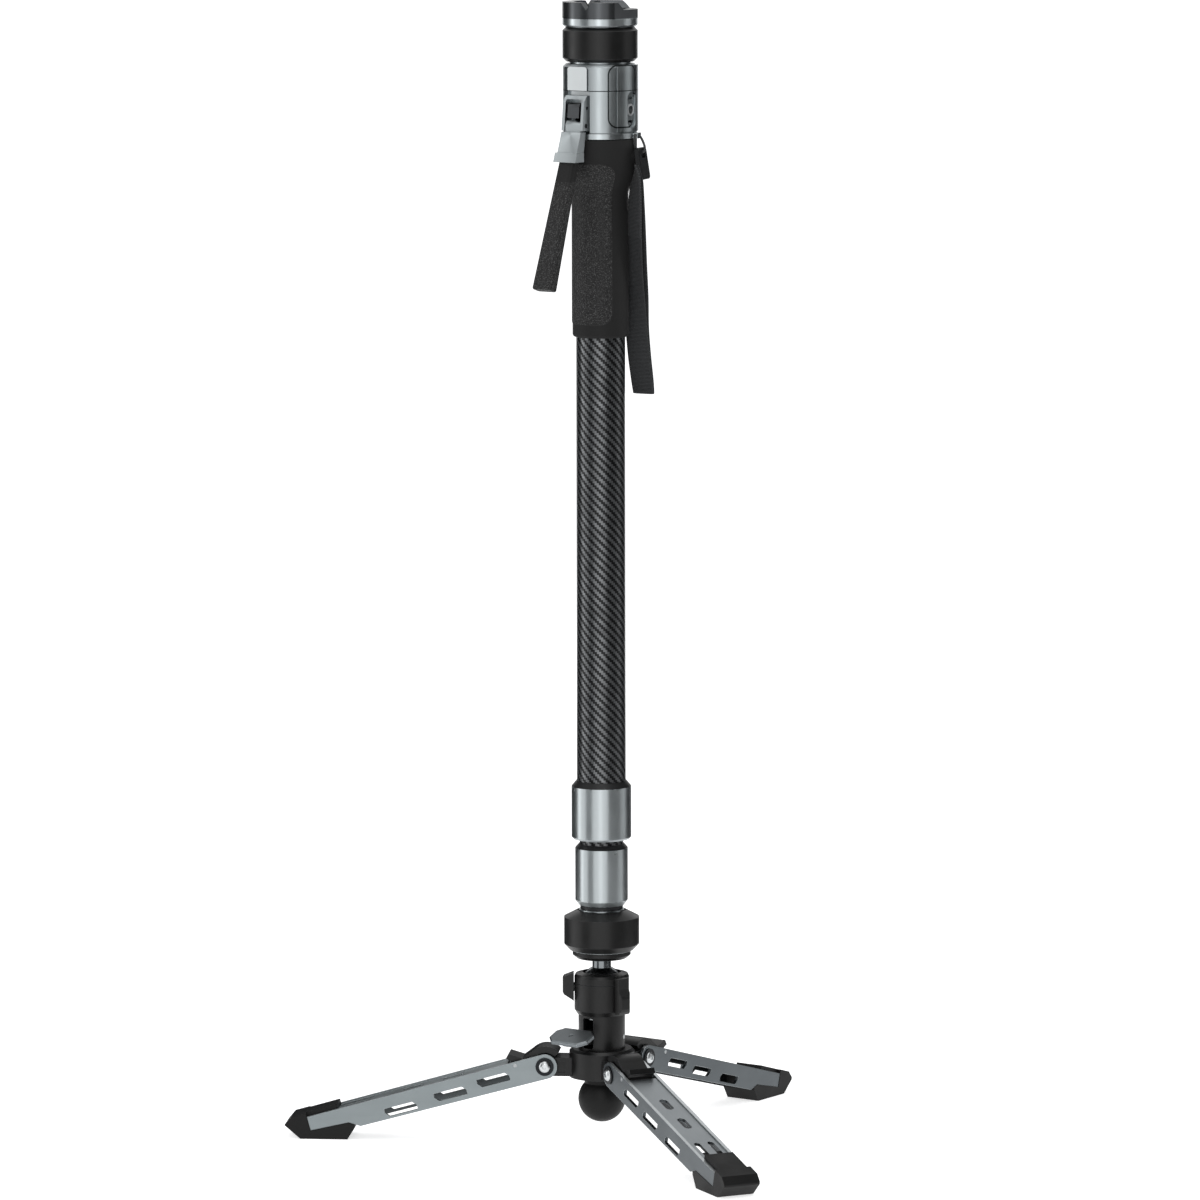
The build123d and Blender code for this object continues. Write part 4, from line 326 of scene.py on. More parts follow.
black_satin = black_anodised(
    "black anodised aluminium", "#111111", roughness=0.36, wear_and_highlight_hex="#3c3e40",
)
dress(
    black_satin, "base_hub", "pedestal_tube", "ball_housing", "tilt_knob", "pan_knob",
    "stem_disc", "pedal_lever", "leg_latch_left", "leg_latch_front", "leg_latch_back",
)

# Legs: channels of aluminium sheet, blasted and anodised grey. The finish is a fine
# grain with lines of the extrusion along the leg; its edges are painted bright, partly
# bare metal where it is cut and partly a painted highlight.

blast_grain = 0.0004
sheet_edge = 0.00035
leg_half_width = 0.01280
leg_slope_angle = math.radians(15.4)
leg_hinge_radial, leg_hinge_height = 0.0368, 0.05065
rail_width = 0.0026
rail_overlap = 0.0003
web_underside = 0.0053
upward_facing = 0.6


def channel_light_and_shade(tree, base, place, azimuth):
    """Painted light and shade on a channel: bright rails along its top as a painted highlight,
    the upward web painted paler as if lit from above, and painted shade where it is hollow.

    The leg's own side view is the place less the hinge, turned back by the azimuth and
    the slope: its Y runs across the leg and its Z stands on the leg's middle line.
    """
    turn = math.radians(azimuth)
    hinge_x, hinge_y = leg_hinge_radial * math.cos(turn), leg_hinge_radial * math.sin(turn)
    on_leg = add_node(
        tree, "ShaderNodeMapping", {"vector_type": "TEXTURE"}, Vector=place,
        Location=(hinge_x, hinge_y, leg_hinge_height), Rotation=(0, leg_slope_angle, turn),
    )
    parts = add_node(tree, "ShaderNodeSeparateXYZ", Vector=on_leg)
    aside = add_node(tree, "ShaderNodeMath", {"operation": "ABSOLUTE"}, in0=parts.outputs["Y"])
    above = add_node(
        tree, "ShaderNodeMath", {"operation": "GREATER_THAN"},
        in0=parts.outputs["Z"], in1=web_underside,
    )
    normal = add_node(tree, "ShaderNodeNewGeometry").outputs["Normal"]
    upright = add_node(tree, "ShaderNodeSeparateXYZ", Vector=normal).outputs["Z"]
    upward = add_node(
        tree, "ShaderNodeMath", {"operation": "GREATER_THAN"}, in0=upright, in1=upward_facing,
    )
    web = add_node(tree, "ShaderNodeMath", {"operation": "MULTIPLY"}, in0=above, in1=upward)
    # The rails: strips along the top's outer edges, painted bright as a painted highlight.
    beside = add_node(
        tree, "ShaderNodeMath", {"operation": "GREATER_THAN"},
        in0=aside, in1=leg_half_width - rail_width,
    )
    rail_highlight = add_node(tree, "ShaderNodeMath", {"operation": "MULTIPLY"}, in0=beside, in1=web)
    within = add_node(
        tree, "ShaderNodeMath", {"operation": "LESS_THAN"},
        in0=aside, in1=leg_half_width - rail_width + rail_overlap,
    )
    below = add_node(tree, "ShaderNodeMath", {"operation": "SUBTRACT"}, in0=1.0, in1=above)
    hollow = add_node(tree, "ShaderNodeMath", {"operation": "MULTIPLY"}, in0=within, in1=below)
    # The upward web is painted paler, as if lit from above, and the rails brighter still: painted
    # light.
    pale = add_node(
        tree, "ShaderNodeMixRGB", {"blend_type": "ADD"}, in0=web, in1=base, in2=colour("#76797b"),
    )
    lit = add_node(tree, "ShaderNodeMixRGB", in0=rail_highlight, in1=pale, in2=colour("#c4c8ca"))
    # Painted shade inside the hollow channel.
    shade = add_node(
        tree, "ShaderNodeMixRGB", {"blend_type": "MULTIPLY"},
        in0=1.0, in1=base, in2=colour("#9a9a9a"),
    )
    return add_node(tree, "ShaderNodeMixRGB", in0=hollow, in1=lit, in2=shade)


def grey_anodised(name, hex_text, roughness, azimuth, line_depth, light_and_shade=None):
    """Grey anodised aluminium with faint lines that run along an azimuth.

    The function given last, where given, paints light and shade on the piece: it takes the
    tree, the base colour, the place and the azimuth, and gives back a colour.
    """
    material, tree = new_material(name)
    place = add_node(tree, "ShaderNodeTexCoord").outputs["Object"]
    turned = add_node(
        tree, "ShaderNodeMapping", Vector=place, Rotation=(0, 0, -math.radians(azimuth)),
    )
    # Lines about 1 mm apart across the leg and an eighth of a metre long
    stretch = add_node(tree, "ShaderNodeMapping", Vector=turned, Scale=(8.0, 900.0, 90.0))
    lines = add_node(tree, "ShaderNodeTexNoise", Vector=stretch, Scale=1.0, Detail=3.0)
    grain = add_node(tree, "ShaderNodeTexNoise", Vector=place, Scale=1 / blast_grain, Detail=1.0)
    cloud = add_node(tree, "ShaderNodeTexNoise", Vector=place, Scale=50.0, Detail=4.0)
    rounded, worn = worn_and_highlit_edges(tree, sheet_edge, 0.8)
    base = add_node(
        tree, "ShaderNodeMixRGB", {"blend_type": "MULTIPLY"},
        in0=0.22, in1=colour(hex_text), in2=lines,
    )
    # Painted light and shade for the piece, where a function for it is given.
    if light_and_shade:
        base = light_and_shade(tree, base, place, azimuth)
    # Edges painted pale: partly wear and cut metal, partly a painted highlight.
    tone = add_node(tree, "ShaderNodeMixRGB", in0=worn, in1=base, in2=colour("#c9cfd1"))
    fine = add_node(
        tree, "ShaderNodeBump", Strength=0.15, Distance=0.00003, Height=grain, Normal=rounded,
    )
    relief = add_node(
        tree, "ShaderNodeBump", Strength=0.3, Distance=line_depth, Height=lines, Normal=fine,
    )
    shine = add_node(
        tree, "ShaderNodeMapRange",
        in0=cloud, in1=0.3, in2=0.7, in3=roughness - 0.04, in4=roughness + 0.04,
    )
    skin = add_node(
        tree, "ShaderNodeBsdfPrincipled", Base_Color=tone, Metallic=1.0,
        Roughness=shine, Normal=relief,
    )
    add_node(tree, "ShaderNodeOutputMaterial", Surface=skin)
    return material


leg_azimuths = {"left": 175.17, "front": 295.17, "back": 55.17}
# One anodised grey in lit and shaded copies: the left leg painted paler, the front and back legs
# darker, as painted light and shade.
leg_lit_and_shaded_greys = {"left": "#8c9395", "front": "#62676a", "back": "#62676a"}
for leg, azimuth in leg_azimuths.items():
    sheet_grey = grey_anodised(
        f"grey anodised sheet {leg}", leg_lit_and_shaded_greys[leg], roughness=0.4, azimuth=azimuth,
        line_depth=0.00006, light_and_shade=channel_light_and_shade,
    )
    dress(sheet_grey, f"leg_channel_{leg}")

# Pedal tread: a small aluminium plate on the pedal's arm, blasted and anodised grey
# like the legs.

tread_azimuth = 53.0
tread_grey = grey_anodised(
    "grey anodised tread", "#7a7f82", roughness=0.42, azimuth=tread_azimuth,
    line_depth=0.00002,
)
dress(tread_grey, "pedal_plate")

# Steel parts: the ball with its stem, the pins of the latches and the pedal, the pedal's
# spring, the clamp's piston and the release rod, all turned and left plain. The hinge
# washers and the lever's pins are blacked.


def turned_steel(name, hex_text, roughness):
    """Turned steel with a slight cloudiness from handling."""
    material, tree = new_material(name)
    place = add_node(tree, "ShaderNodeTexCoord").outputs["Object"]
    cloud = add_node(tree, "ShaderNodeTexNoise", Vector=place, Scale=220.0, Detail=3.0)
    shine = add_node(
        tree, "ShaderNodeMapRange",
        in0=cloud, in1=0.3, in2=0.7, in3=roughness * 0.7, in4=roughness * 1.3,
    )
    relief = add_node(tree, "ShaderNodeBump", Strength=0.1, Distance=0.00002, Height=cloud)
    skin = add_node(
        tree, "ShaderNodeBsdfPrincipled", Base_Color=colour(hex_text), Metallic=1.0,
        Roughness=shine, Normal=relief,
    )
    add_node(tree, "ShaderNodeOutputMaterial", Surface=skin)
    return material


plain_steel = turned_steel("turned steel", "#9a9d9e", roughness=0.25)
bright_steel = turned_steel("polished steel", "#7c8082", roughness=0.2)
dark_steel = turned_steel("black oxide steel", "#26282a", roughness=0.35)
dress(
    plain_steel, "latch_pin_left", "latch_pin_front", "latch_pin_back", "pedal_pin",
    "pedal_spring", "clamp_piston", "release_rod",
)
dress(bright_steel, "tilt_ball")
dress(dark_steel, "hinge_washers", "lever_pins")

# Hinge screws: one barrel screw through each lug, with a domed head at both ends and
# a six-sided socket. Steel, bright zinc finish.


def add_grid(name, points, material, body):
    """A mesh from rows of points, with quads between neighbours. Each row is a ring."""
    rows, columns = points.shape[:2]
    index = np.arange(rows * columns).reshape(rows, columns)
    index = np.hstack([index, index[:, :1]])
    corners = np.stack(
        [index[:-1, :-1], index[:-1, 1:], index[1:, 1:], index[1:, :-1]], axis=-1,
    ).reshape(-1, 4)
    mesh = bpy.data.meshes.new(name)
    mesh.from_pydata(points.reshape(-1, 3).tolist(), [], corners.tolist())
    mesh.materials.append(material)
    mesh.polygons.foreach_set("use_smooth", np.ones(len(mesh.polygons), dtype=bool))
    piece = bpy.data.objects.new(name, mesh)
    bpy.context.scene.collection.objects.link(piece)
    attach(piece, body)
    return piece


def joint_line(name):
    """A joint's point and unit axis, as the frame gives them."""
    joint = next(j for j in frame["joints"] if j["name"] == name)
    return np.array(joint["pos_m"], float), np.array(joint["axis"], float)


head_radius = 0.0039
head_rise = 0.0020
socket_reach = 0.0015
socket_depth = 0.0010
head_seat = 0.01315
shank_radius = 0.0025
rim_share = 0.93
dome_start = 0.28
dome_rings = 9
screw_columns = 48
screw_steel = turned_steel("zinc plated steel", "#c8cbcc", roughness=0.32)


def screw_surface(centre, axis):
    """A barrel screw as one turned skin: socket, dome, shank, dome, socket.

    A profile of radius against place along the axis is turned round the axis. The
    dome is an arc of sines, and inside the socket the radius is that of a hexagon:
    the flat's distance divided by the cosine of the angle from the flat's middle.
    """
    turn = np.linspace(0, 2 * math.pi, screw_columns, endpoint=False)
    flat_angle = (turn % (math.pi / 3)) - math.pi / 6
    hexagon = socket_reach * math.cos(math.pi / 6) / np.cos(flat_angle)
    rim = head_rise * rim_share
    arc = np.linspace(dome_start, 1, dome_rings) * math.pi / 2
    dome_radius = head_radius * np.sin(arc)
    dome_place = head_seat + rim * np.cos(arc) / math.cos(arc[0])
    floor_place = head_seat + rim - socket_depth
    half = [(0 * turn, 0 * turn + floor_place), (hexagon, 0 * turn + floor_place)]
    half += [(hexagon, 0 * turn + head_seat + rim)]
    half += [(0 * turn + r, 0 * turn + p) for r, p in zip(dome_radius, dome_place)]
    half += [(0 * turn + shank_radius, 0 * turn + head_seat)]
    radius = np.array([r for r, _ in half] + [r for r, _ in reversed(half)])
    place = np.array([p for _, p in half] + [-p for _, p in reversed(half)])
    up = np.array([0.0, 0.0, 1.0])
    side = np.cross(axis, up)
    return (
        centre
        + radius[..., None] * (np.cos(turn)[:, None] * side + np.sin(turn)[:, None] * up)
        + place[..., None] * axis
    )


screws = []
for leg in leg_azimuths:
    centre, axis = joint_line(f"leg_fold_{leg}")
    skin = screw_surface(centre, axis)
    screws.append(add_grid(f"hinge_screw_{leg}", skin, screw_steel, "base"))
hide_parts("hinge_screws")
for screw in screws:
    crisp = screw.modifiers.new("crisp edges", "EDGE_SPLIT")
    crisp.split_angle = math.radians(40)

# Bearing plastic: the ball's cup, the tube guides and the wiper seals. Acetal, moulded
# and turned: dark, waxy and even.


def bearing_plastic(name, hex_text):
    """Acetal: a dull waxy skin with a slight mottle."""
    material, tree = new_material(name)
    place = add_node(tree, "ShaderNodeTexCoord").outputs["Object"]
    mottle = add_node(tree, "ShaderNodeTexNoise", Vector=place, Scale=300.0, Detail=3.0)
    tone = add_node(
        tree, "ShaderNodeMixRGB", {"blend_type": "MULTIPLY"},
        in0=0.2, in1=colour(hex_text), in2=mottle,
    )
    relief = add_node(tree, "ShaderNodeBump", Strength=0.15, Distance=0.00003, Height=mottle)
    skin = add_node(
        tree, "ShaderNodeBsdfPrincipled", Base_Color=tone, Roughness=0.42, Normal=relief,
    )
    skin.inputs["Specular IOR Level"].default_value = 0.25
    add_node(tree, "ShaderNodeOutputMaterial", Surface=skin)
    return material


acetal = bearing_plastic("acetal", "#202123")
dress(
    acetal, "ball_cup", "inner_tube_guide", "mid_tube_guide", "outer_collar_seal",
    "mid_collar_seal",
)

# Column tubes: carbon fibre cloth rolled round a mandrel and cured, then lacquered.
# The twill shows as steep rows of small checks, dark where the tows turn away.

tow_width = 0.00137
tow_length = 0.00137


def carbon_twill(name, radius):
    """Two-up two-down twill on a tube.

    The place round the tube, angle times radius, and the height are counted in tows.
    The sum of both counts, modulo four, says which tow lies on top. Each tow's crown is
    the distance to the nearest edge of its square.
    """
    material, tree = new_material(name)
    place = add_node(tree, "ShaderNodeTexCoord").outputs["Object"]
    parts = add_node(tree, "ShaderNodeSeparateXYZ", Vector=place)
    angle = add_node(
        tree, "ShaderNodeMath", {"operation": "ARCTAN2"},
        in0=parts.outputs["Y"], in1=parts.outputs["X"],
    )
    unrolled = add_node(tree, "ShaderNodeCombineXYZ", X=angle, Y=parts.outputs["Z"])
    tows_round = round(2 * math.pi * radius / tow_width / 4) * 4
    tows = add_node(
        tree, "ShaderNodeVectorMath", {"operation": "MULTIPLY"},
        in0=unrolled, in1=(tows_round / (2 * math.pi), 1 / tow_length, 0.0),
    )
    whole = add_node(tree, "ShaderNodeVectorMath", {"operation": "FLOOR"}, in0=tows)
    count = add_node(
        tree, "ShaderNodeVectorMath", {"operation": "DOT_PRODUCT"}, in0=whole, in1=(1.0, 1.0, 0.0),
    )
    of_four = add_node(
        tree, "ShaderNodeMath", {"operation": "FLOORED_MODULO"},
        in0=count.outputs["Value"], in1=4.0,
    )
    over = add_node(tree, "ShaderNodeMath", {"operation": "LESS_THAN"}, in0=of_four, in1=1.5)
    sliver = add_node(tree, "ShaderNodeTexNoise", Vector=place, Scale=140.0, Detail=4.0)
    base = add_node(
        tree, "ShaderNodeMixRGB", in0=over, in1=colour("#7c7e80"), in2=colour("#242526"),
    )
    tone = add_node(
        tree, "ShaderNodeMixRGB", {"blend_type": "MULTIPLY"}, in0=0.8, in1=base, in2=sliver,
    )
    tow_parts = add_node(tree, "ShaderNodeSeparateXYZ", Vector=tows)
    crown_across = add_node(
        tree, "ShaderNodeMath", {"operation": "PINGPONG"}, in0=tow_parts.outputs["X"], in1=0.5,
    )
    crown_along = add_node(
        tree, "ShaderNodeMath", {"operation": "PINGPONG"}, in0=tow_parts.outputs["Y"], in1=0.5,
    )
    crown = add_node(tree, "ShaderNodeMix", in0=over, in2=crown_across, in3=crown_along)
    relief = add_node(tree, "ShaderNodeBump", Strength=0.5, Distance=0.00008, Height=crown)
    rough = add_node(tree, "ShaderNodeMapRange", in0=over, in3=0.38, in4=0.5)
    grain = add_node(tree, "ShaderNodeTangent", {"direction_type": "RADIAL", "axis": "Z"})
    skin = add_node(
        tree, "ShaderNodeBsdfPrincipled", Base_Color=tone, Metallic=0.8,
        Roughness=rough, Normal=relief, Tangent=grain,
    )
    skin.inputs["Anisotropic"].default_value = 0.8
    skin.inputs["Anisotropic Rotation"].default_value = 0.25
    skin.inputs["Coat Weight"].default_value = 0.12
    skin.inputs["Coat Roughness"].default_value = 0.15
    add_node(tree, "ShaderNodeOutputMaterial", Surface=skin)
    return material


for tube in ("inner_tube", "mid_tube", "outer_tube"):
    low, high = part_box(tube)
    dress(carbon_twill(f"carbon twill {tube}", (high.x - low.x) / 2), tube)

# Collars and the pale parts of the column: turned aluminium, anodised silver grey.
# Turning leaves faint rings; the blasted oxide spreads the lamps' light into wide bands.

ring_pitch = 0.00025
lever_azimuth = -127.0
lit_flat_facing = 0.9995
panel_azimuth = -51.0
panel_radius = 0.0243
panel_half_run = 0.0112
panel_middle, panel_half_height = 0.6905, 0.0200
panel_corner = 0.0062
panel_groove = 0.0010
seam_height, seam_width = 0.69405, 0.0006


def beyond_panel(tree, place, azimuth, radius, middle, half_run, half_height, corner):
    """How far a place lies outside a panel's inner rectangle, its corners cut away.

    The panel is wrapped round Z. Arc length and height are measured from its middle,
    and on its outline the distance is the radius of its corners.
    """
    spun = add_node(
        tree, "ShaderNodeMapping", Vector=place, Rotation=(0, 0, -math.radians(azimuth)),
    )
    parts = add_node(tree, "ShaderNodeSeparateXYZ", Vector=spun)
    angle = add_node(
        tree, "ShaderNodeMath", {"operation": "ARCTAN2"},
        in0=parts.outputs["Y"], in1=parts.outputs["X"],
    )
    unrolled = add_node(tree, "ShaderNodeCombineXYZ", X=angle, Y=parts.outputs["Z"])
    placed = add_node(
        tree, "ShaderNodeVectorMath", {"operation": "MULTIPLY_ADD"},
        in0=unrolled, in1=(radius, 1.0, 0.0), in2=(0.0, -middle, 0.0),
    )
    aside = add_node(tree, "ShaderNodeVectorMath", {"operation": "ABSOLUTE"}, in0=placed)
    beyond = add_node(
        tree, "ShaderNodeVectorMath", {"operation": "SUBTRACT"},
        in0=aside, in1=(half_run - corner, half_height - corner, 0.0),
    )
    outside = add_node(
        tree, "ShaderNodeVectorMath", {"operation": "MAXIMUM"}, in0=beyond, in1=(0.0, 0.0, 0.0),
    )
    span = add_node(tree, "ShaderNodeVectorMath", {"operation": "LENGTH"}, in0=outside)
    return span.outputs["Value"]


def panel_line(tree, place):
    """1 on the head's seam and on the groove round its side panel."""
    span = beyond_panel(
        tree, place, panel_azimuth, panel_radius, panel_middle,
        panel_half_run, panel_half_height, panel_corner,
    )
    outline = add_node(
        tree, "ShaderNodeMath", {"operation": "COMPARE"},
        in0=span, in1=panel_corner, in2=panel_groove / 2,
    )
    height = add_node(tree, "ShaderNodeSeparateXYZ", Vector=place).outputs["Z"]
    seam = add_node(
        tree, "ShaderNodeMath", {"operation": "COMPARE"},
        in0=height, in1=seam_height, in2=seam_width / 2,
    )
    return add_node(tree, "ShaderNodeMath", {"operation": "MAXIMUM"}, in0=outline, in1=seam)


def silver_anodised(name, hex_text, roughness, grooved=False):
    """Turned aluminium, silver anodised: its rings spread the light along Z.

    grooved adds the head's seam and side panel, and paints the flat pad on the lever's side paler, a
    painted highlight.
    """
    material, tree = new_material(name)
    place = add_node(tree, "ShaderNodeTexCoord").outputs["Object"]
    stretch = add_node(tree, "ShaderNodeMapping", Vector=place, Scale=(40.0, 40.0, 1 / ring_pitch))
    rings = add_node(tree, "ShaderNodeTexNoise", Vector=stretch, Scale=1.0, Detail=2.0)
    cloud = add_node(tree, "ShaderNodeTexNoise", Vector=place, Scale=70.0, Detail=4.0)
    rounded = add_node(tree, "ShaderNodeBevel", {"samples": 4}, Radius=milled_edge)
    relief = add_node(
        tree, "ShaderNodeBump", Strength=0.15, Distance=0.00002, Height=rings, Normal=rounded,
    )
    shine = add_node(
        tree, "ShaderNodeMapRange",
        in0=cloud, in1=0.3, in2=0.7, in3=roughness - 0.04, in4=roughness + 0.04,
    )
    tone = add_node(
        tree, "ShaderNodeMixRGB", {"blend_type": "MULTIPLY"},
        in0=0.12, in1=colour(hex_text), in2=cloud,
    )
    if grooved:
        turn = math.radians(lever_azimuth)
        normal = add_node(tree, "ShaderNodeNewGeometry").outputs["Normal"]
        facing = add_node(
            tree, "ShaderNodeVectorMath", {"operation": "DOT_PRODUCT"},
            in0=normal, in1=(math.cos(turn), math.sin(turn), 0.0),
        )
        flat = add_node(
            tree, "ShaderNodeMath", {"operation": "GREATER_THAN"},
            in0=facing.outputs["Value"], in1=lit_flat_facing,
        )
        # The flat pad that faces the lever is painted paler: a painted highlight.
        flat_highlit = add_node(tree, "ShaderNodeMixRGB", in0=flat, in1=tone, in2=colour("#c6cacb"))
        groove = panel_line(tree, place)
        tone = add_node(tree, "ShaderNodeMixRGB", in0=groove, in1=flat_highlit, in2=colour("#3a3d3e"))
    grain = add_node(tree, "ShaderNodeTangent", {"direction_type": "RADIAL", "axis": "Z"})
    skin = add_node(
        tree, "ShaderNodeBsdfPrincipled", Base_Color=tone, Metallic=1.0,
        Roughness=shine, Normal=relief, Tangent=grain,
    )
    skin.inputs["Anisotropic"].default_value = 0.85
    skin.inputs["Anisotropic Rotation"].default_value = 0.25
    add_node(tree, "ShaderNodeOutputMaterial", Surface=skin)
    return material


silver_satin = silver_anodised("silver anodised aluminium", "#b2b8ba", roughness=0.38)
dress(
    silver_satin, "outer_collar", "mid_collar", "receiver_collar", "receiver_plug",
    "strap_ring", "head_flange",
)
cap_plastic = bearing_plastic("glass filled nylon", "#161718")
dress(cap_plastic, "outer_collar_cap", "mid_collar_cap", "strap_buckle")
cast_satin = silver_anodised("cast silver aluminium", "#aab0b2", roughness=0.44)
dress(cast_satin, "lever_bracket", "lever_arm")
panel_satin = silver_anodised(
    "silver anodised, grooved", "#a2a8aa", roughness=0.4, grooved=True,
)
dress(panel_satin, "head_body", "head_cap")
dress(black_satin, "qr_ring", "lock_band")
titanium_grey = silver_anodised("titanium grey aluminium", "#505254", roughness=0.38)
dress(titanium_grey, "claw_plate", "lock_toggle")
dress(screw_steel, "port_insert")

# Hand grip: closed-cell foam rubber, moulded as one sleeve and pushed over the tube.
# It flares under the strap ring and has a raised, pebbled panel on the lever's side.

grip_columns, grip_rows = 256, 320
grip_low, grip_high = 0.5330, 0.6625
grip_bore, grip_radius, grip_flare = 0.01605, 0.0183, 0.0239
grip_flare_low, grip_flare_high = 0.6260, 0.6430
grip_corner = 0.0020
grip_chamfer = 0.0006
grip_panel_half_angle = 62.0
grip_panel_low, grip_panel_high = 0.5415, 0.6470
grip_panel_rise = 0.00045
grip_panel_corner = 0.0080
grip_panel_edge = 0.0006
grip_panel_middle = (grip_panel_low + grip_panel_high) / 2
grip_panel_half_height = (grip_panel_high - grip_panel_low) / 2
grip_panel_half_run = math.radians(grip_panel_half_angle) * grip_radius


def smooth_step(value):
    """Cubic step from 0 to 1: three times the square less twice the cube."""
    share = np.clip(value, 0, 1)
    return share * share * (3 - 2 * share)


def grip_surface():
    """The grip as rows of rings: bore, foot with a rounded corner, wall, flare, top.

    The wall's radius is that of the sleeve plus the flare's, a cubic step over its
    height. The panel stands proud inside a rectangle with round corners.
    """
    turn = np.linspace(0, 2 * math.pi, grip_columns, endpoint=False)
    bend = np.linspace(0, math.pi / 2, 7)
    foot_radius = grip_radius - grip_corner + grip_corner * np.sin(bend)
    foot_height = grip_low + grip_corner - grip_corner * np.cos(bend)
    wall_height = np.linspace(grip_low + grip_corner, grip_high - grip_chamfer, grip_rows)[1:]
    flare = smooth_step((wall_height - grip_flare_low) / (grip_flare_high - grip_flare_low))
    wall_radius = grip_radius + (grip_flare - grip_radius) * flare
    radius = np.concatenate([[grip_bore, grip_bore], foot_radius, wall_radius])
    radius = np.append(radius, [grip_flare - grip_chamfer, grip_bore])
    height = np.concatenate([[grip_high, grip_low], foot_height, wall_height])
    height = np.append(height, [grip_high, grip_high])
    offset = (np.degrees(turn) - lever_azimuth + 180) % 360 - 180
    run = np.radians(np.abs(offset)) * grip_radius
    beyond_side = run - grip_panel_half_run + grip_panel_corner
    rise = np.abs(height - grip_panel_middle)
    beyond_top = rise - grip_panel_half_height + grip_panel_corner
    span = np.hypot(np.maximum(beyond_side, 0), np.maximum(beyond_top, 0)[:, None])
    inside = smooth_step((grip_panel_corner - span) / grip_panel_edge)
    radius = radius[:, None] + grip_panel_rise * inside
    return np.stack(
        [radius * np.cos(turn), radius * np.sin(turn), height[:, None] + 0 * radius], axis=-1,
    )


def foam_rubber(name, hex_text):
    """Foam rubber with a matt skin; the panel's pebbles are cells of a Voronoi net."""
    material, tree = new_material(name)
    place = add_node(tree, "ShaderNodeTexCoord").outputs["Object"]
    span = beyond_panel(
        tree, place, lever_azimuth, grip_radius, grip_panel_middle,
        grip_panel_half_run, grip_panel_half_height, grip_panel_corner,
    )
    panel = add_node(
        tree, "ShaderNodeMath", {"operation": "LESS_THAN"},
        in0=span, in1=grip_panel_corner - grip_panel_edge / 2,
    )
    # Pebbles about 1.1 mm apart, pores a third of that
    pebbles = add_node(tree, "ShaderNodeTexVoronoi", Vector=place, Scale=900.0)
    pores = add_node(tree, "ShaderNodeTexNoise", Vector=place, Scale=2600.0, Detail=2.0)
    blotch = add_node(tree, "ShaderNodeTexNoise", Vector=place, Scale=45.0, Detail=4.0)
    domes = add_node(
        tree, "ShaderNodeMath", {"operation": "SUBTRACT"}, in0=1.0, in1=pebbles.outputs["Distance"],
    )
    coarse = add_node(tree, "ShaderNodeMath", {"operation": "MULTIPLY"}, in0=domes, in1=panel)
    matt = add_node(
        tree, "ShaderNodeMixRGB", {"blend_type": "MULTIPLY"},
        in0=0.25, in1=colour(hex_text), in2=blotch,
    )
    # Painted glints on the raised panel: pale specks that stand for highlights on its pebbles.
    tone = paint_glints(tree, place, matt, panel)
    fine = add_node(tree, "ShaderNodeBump", Strength=0.25, Distance=0.00004, Height=pores)
    relief = add_node(
        tree, "ShaderNodeBump", Strength=0.8, Distance=0.00030, Height=coarse, Normal=fine,
    )
    shine = add_node(tree, "ShaderNodeMapRange", in0=panel, in3=0.62, in4=0.54)
    skin = add_node(
        tree, "ShaderNodeBsdfPrincipled", Base_Color=tone, Roughness=shine, Normal=relief,
    )
    skin.inputs["Specular IOR Level"].default_value = 0.14
    skin.inputs["Sheen Weight"].default_value = 0.02
    add_node(tree, "ShaderNodeOutputMaterial", Surface=skin)
    return material


grip_foam = foam_rubber("foam rubber", "#1f1f1f")
hand_grip = add_grid("hand_grip", grip_surface()[::-1], grip_foam, "upper")
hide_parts("foam_grip")

# Lever grip: a rubber boot over the lever's tang, smooth at its collar and finely
# pebbled below.

lever_collar_foot = 0.636
# Below the collar's foot the rubber gets painted glints: pale specks that stand for highlights on
# its pebbles.
lever_rubber = moulded_rubber(
    "pebbled rubber", "#1d1d1d", grain=0.0009, depth=0.00012, roughness=0.52,
    glints_below=lever_collar_foot,
)
dress(lever_rubber, "lever_grip")

# Strap cord: a thin braided nylon cord. It is looped from the lug's eye round the bar
# of the buckle, and both its ends meet inside the eye.

strap_azimuth = math.radians(-20)
strap_outward = np.array([math.cos(strap_azimuth), math.sin(strap_azimuth), 0.0])
strap_sideways = np.array([-strap_outward[1], strap_outward[0], 0.0])
eye_radial, eye_height = 0.0252, 0.6646
buckle_radial, buckle_height = 0.0291, 0.6465
eye_place = strap_outward * eye_radial + np.array([0, 0, eye_height])
buckle_place = strap_outward * buckle_radial + np.array([0, 0, buckle_height])
buckle_lean = math.radians(9)
buckle_face = strap_outward * math.cos(buckle_lean) + np.array([0, 0, math.sin(buckle_lean)])
buckle_up = np.cross(buckle_face, strap_sideways)
cord_diameter = 0.0016
cord_gap = 0.00005
cord_side, cord_out = 0.0047, 0.0027
cord_rise = 0.0008
bar_top, bar_foot = 0.0113, 0.0070
plait_lean = 0.8


def eye_point(side, rise):
    """A point beside the lug's eye, metres."""
    return eye_place + strap_sideways * side + np.array([0, 0, rise])


def bar_point(side, up, out):
    """A point near the buckle, in its own directions, metres."""
    return buckle_place + strap_sideways * side + buckle_up * up + buckle_face * out


cord_route = [
    eye_point(cord_gap, 0),
    eye_point(cord_side, cord_rise),
    bar_point(cord_side / 2, bar_top, cord_out),
    bar_point(0, bar_foot, cord_out),
    bar_point(0, bar_foot, -cord_out),
    bar_point(-cord_side / 2, bar_top, -cord_out),
    eye_point(-cord_side, cord_rise),
    eye_point(-cord_gap, 0),
]


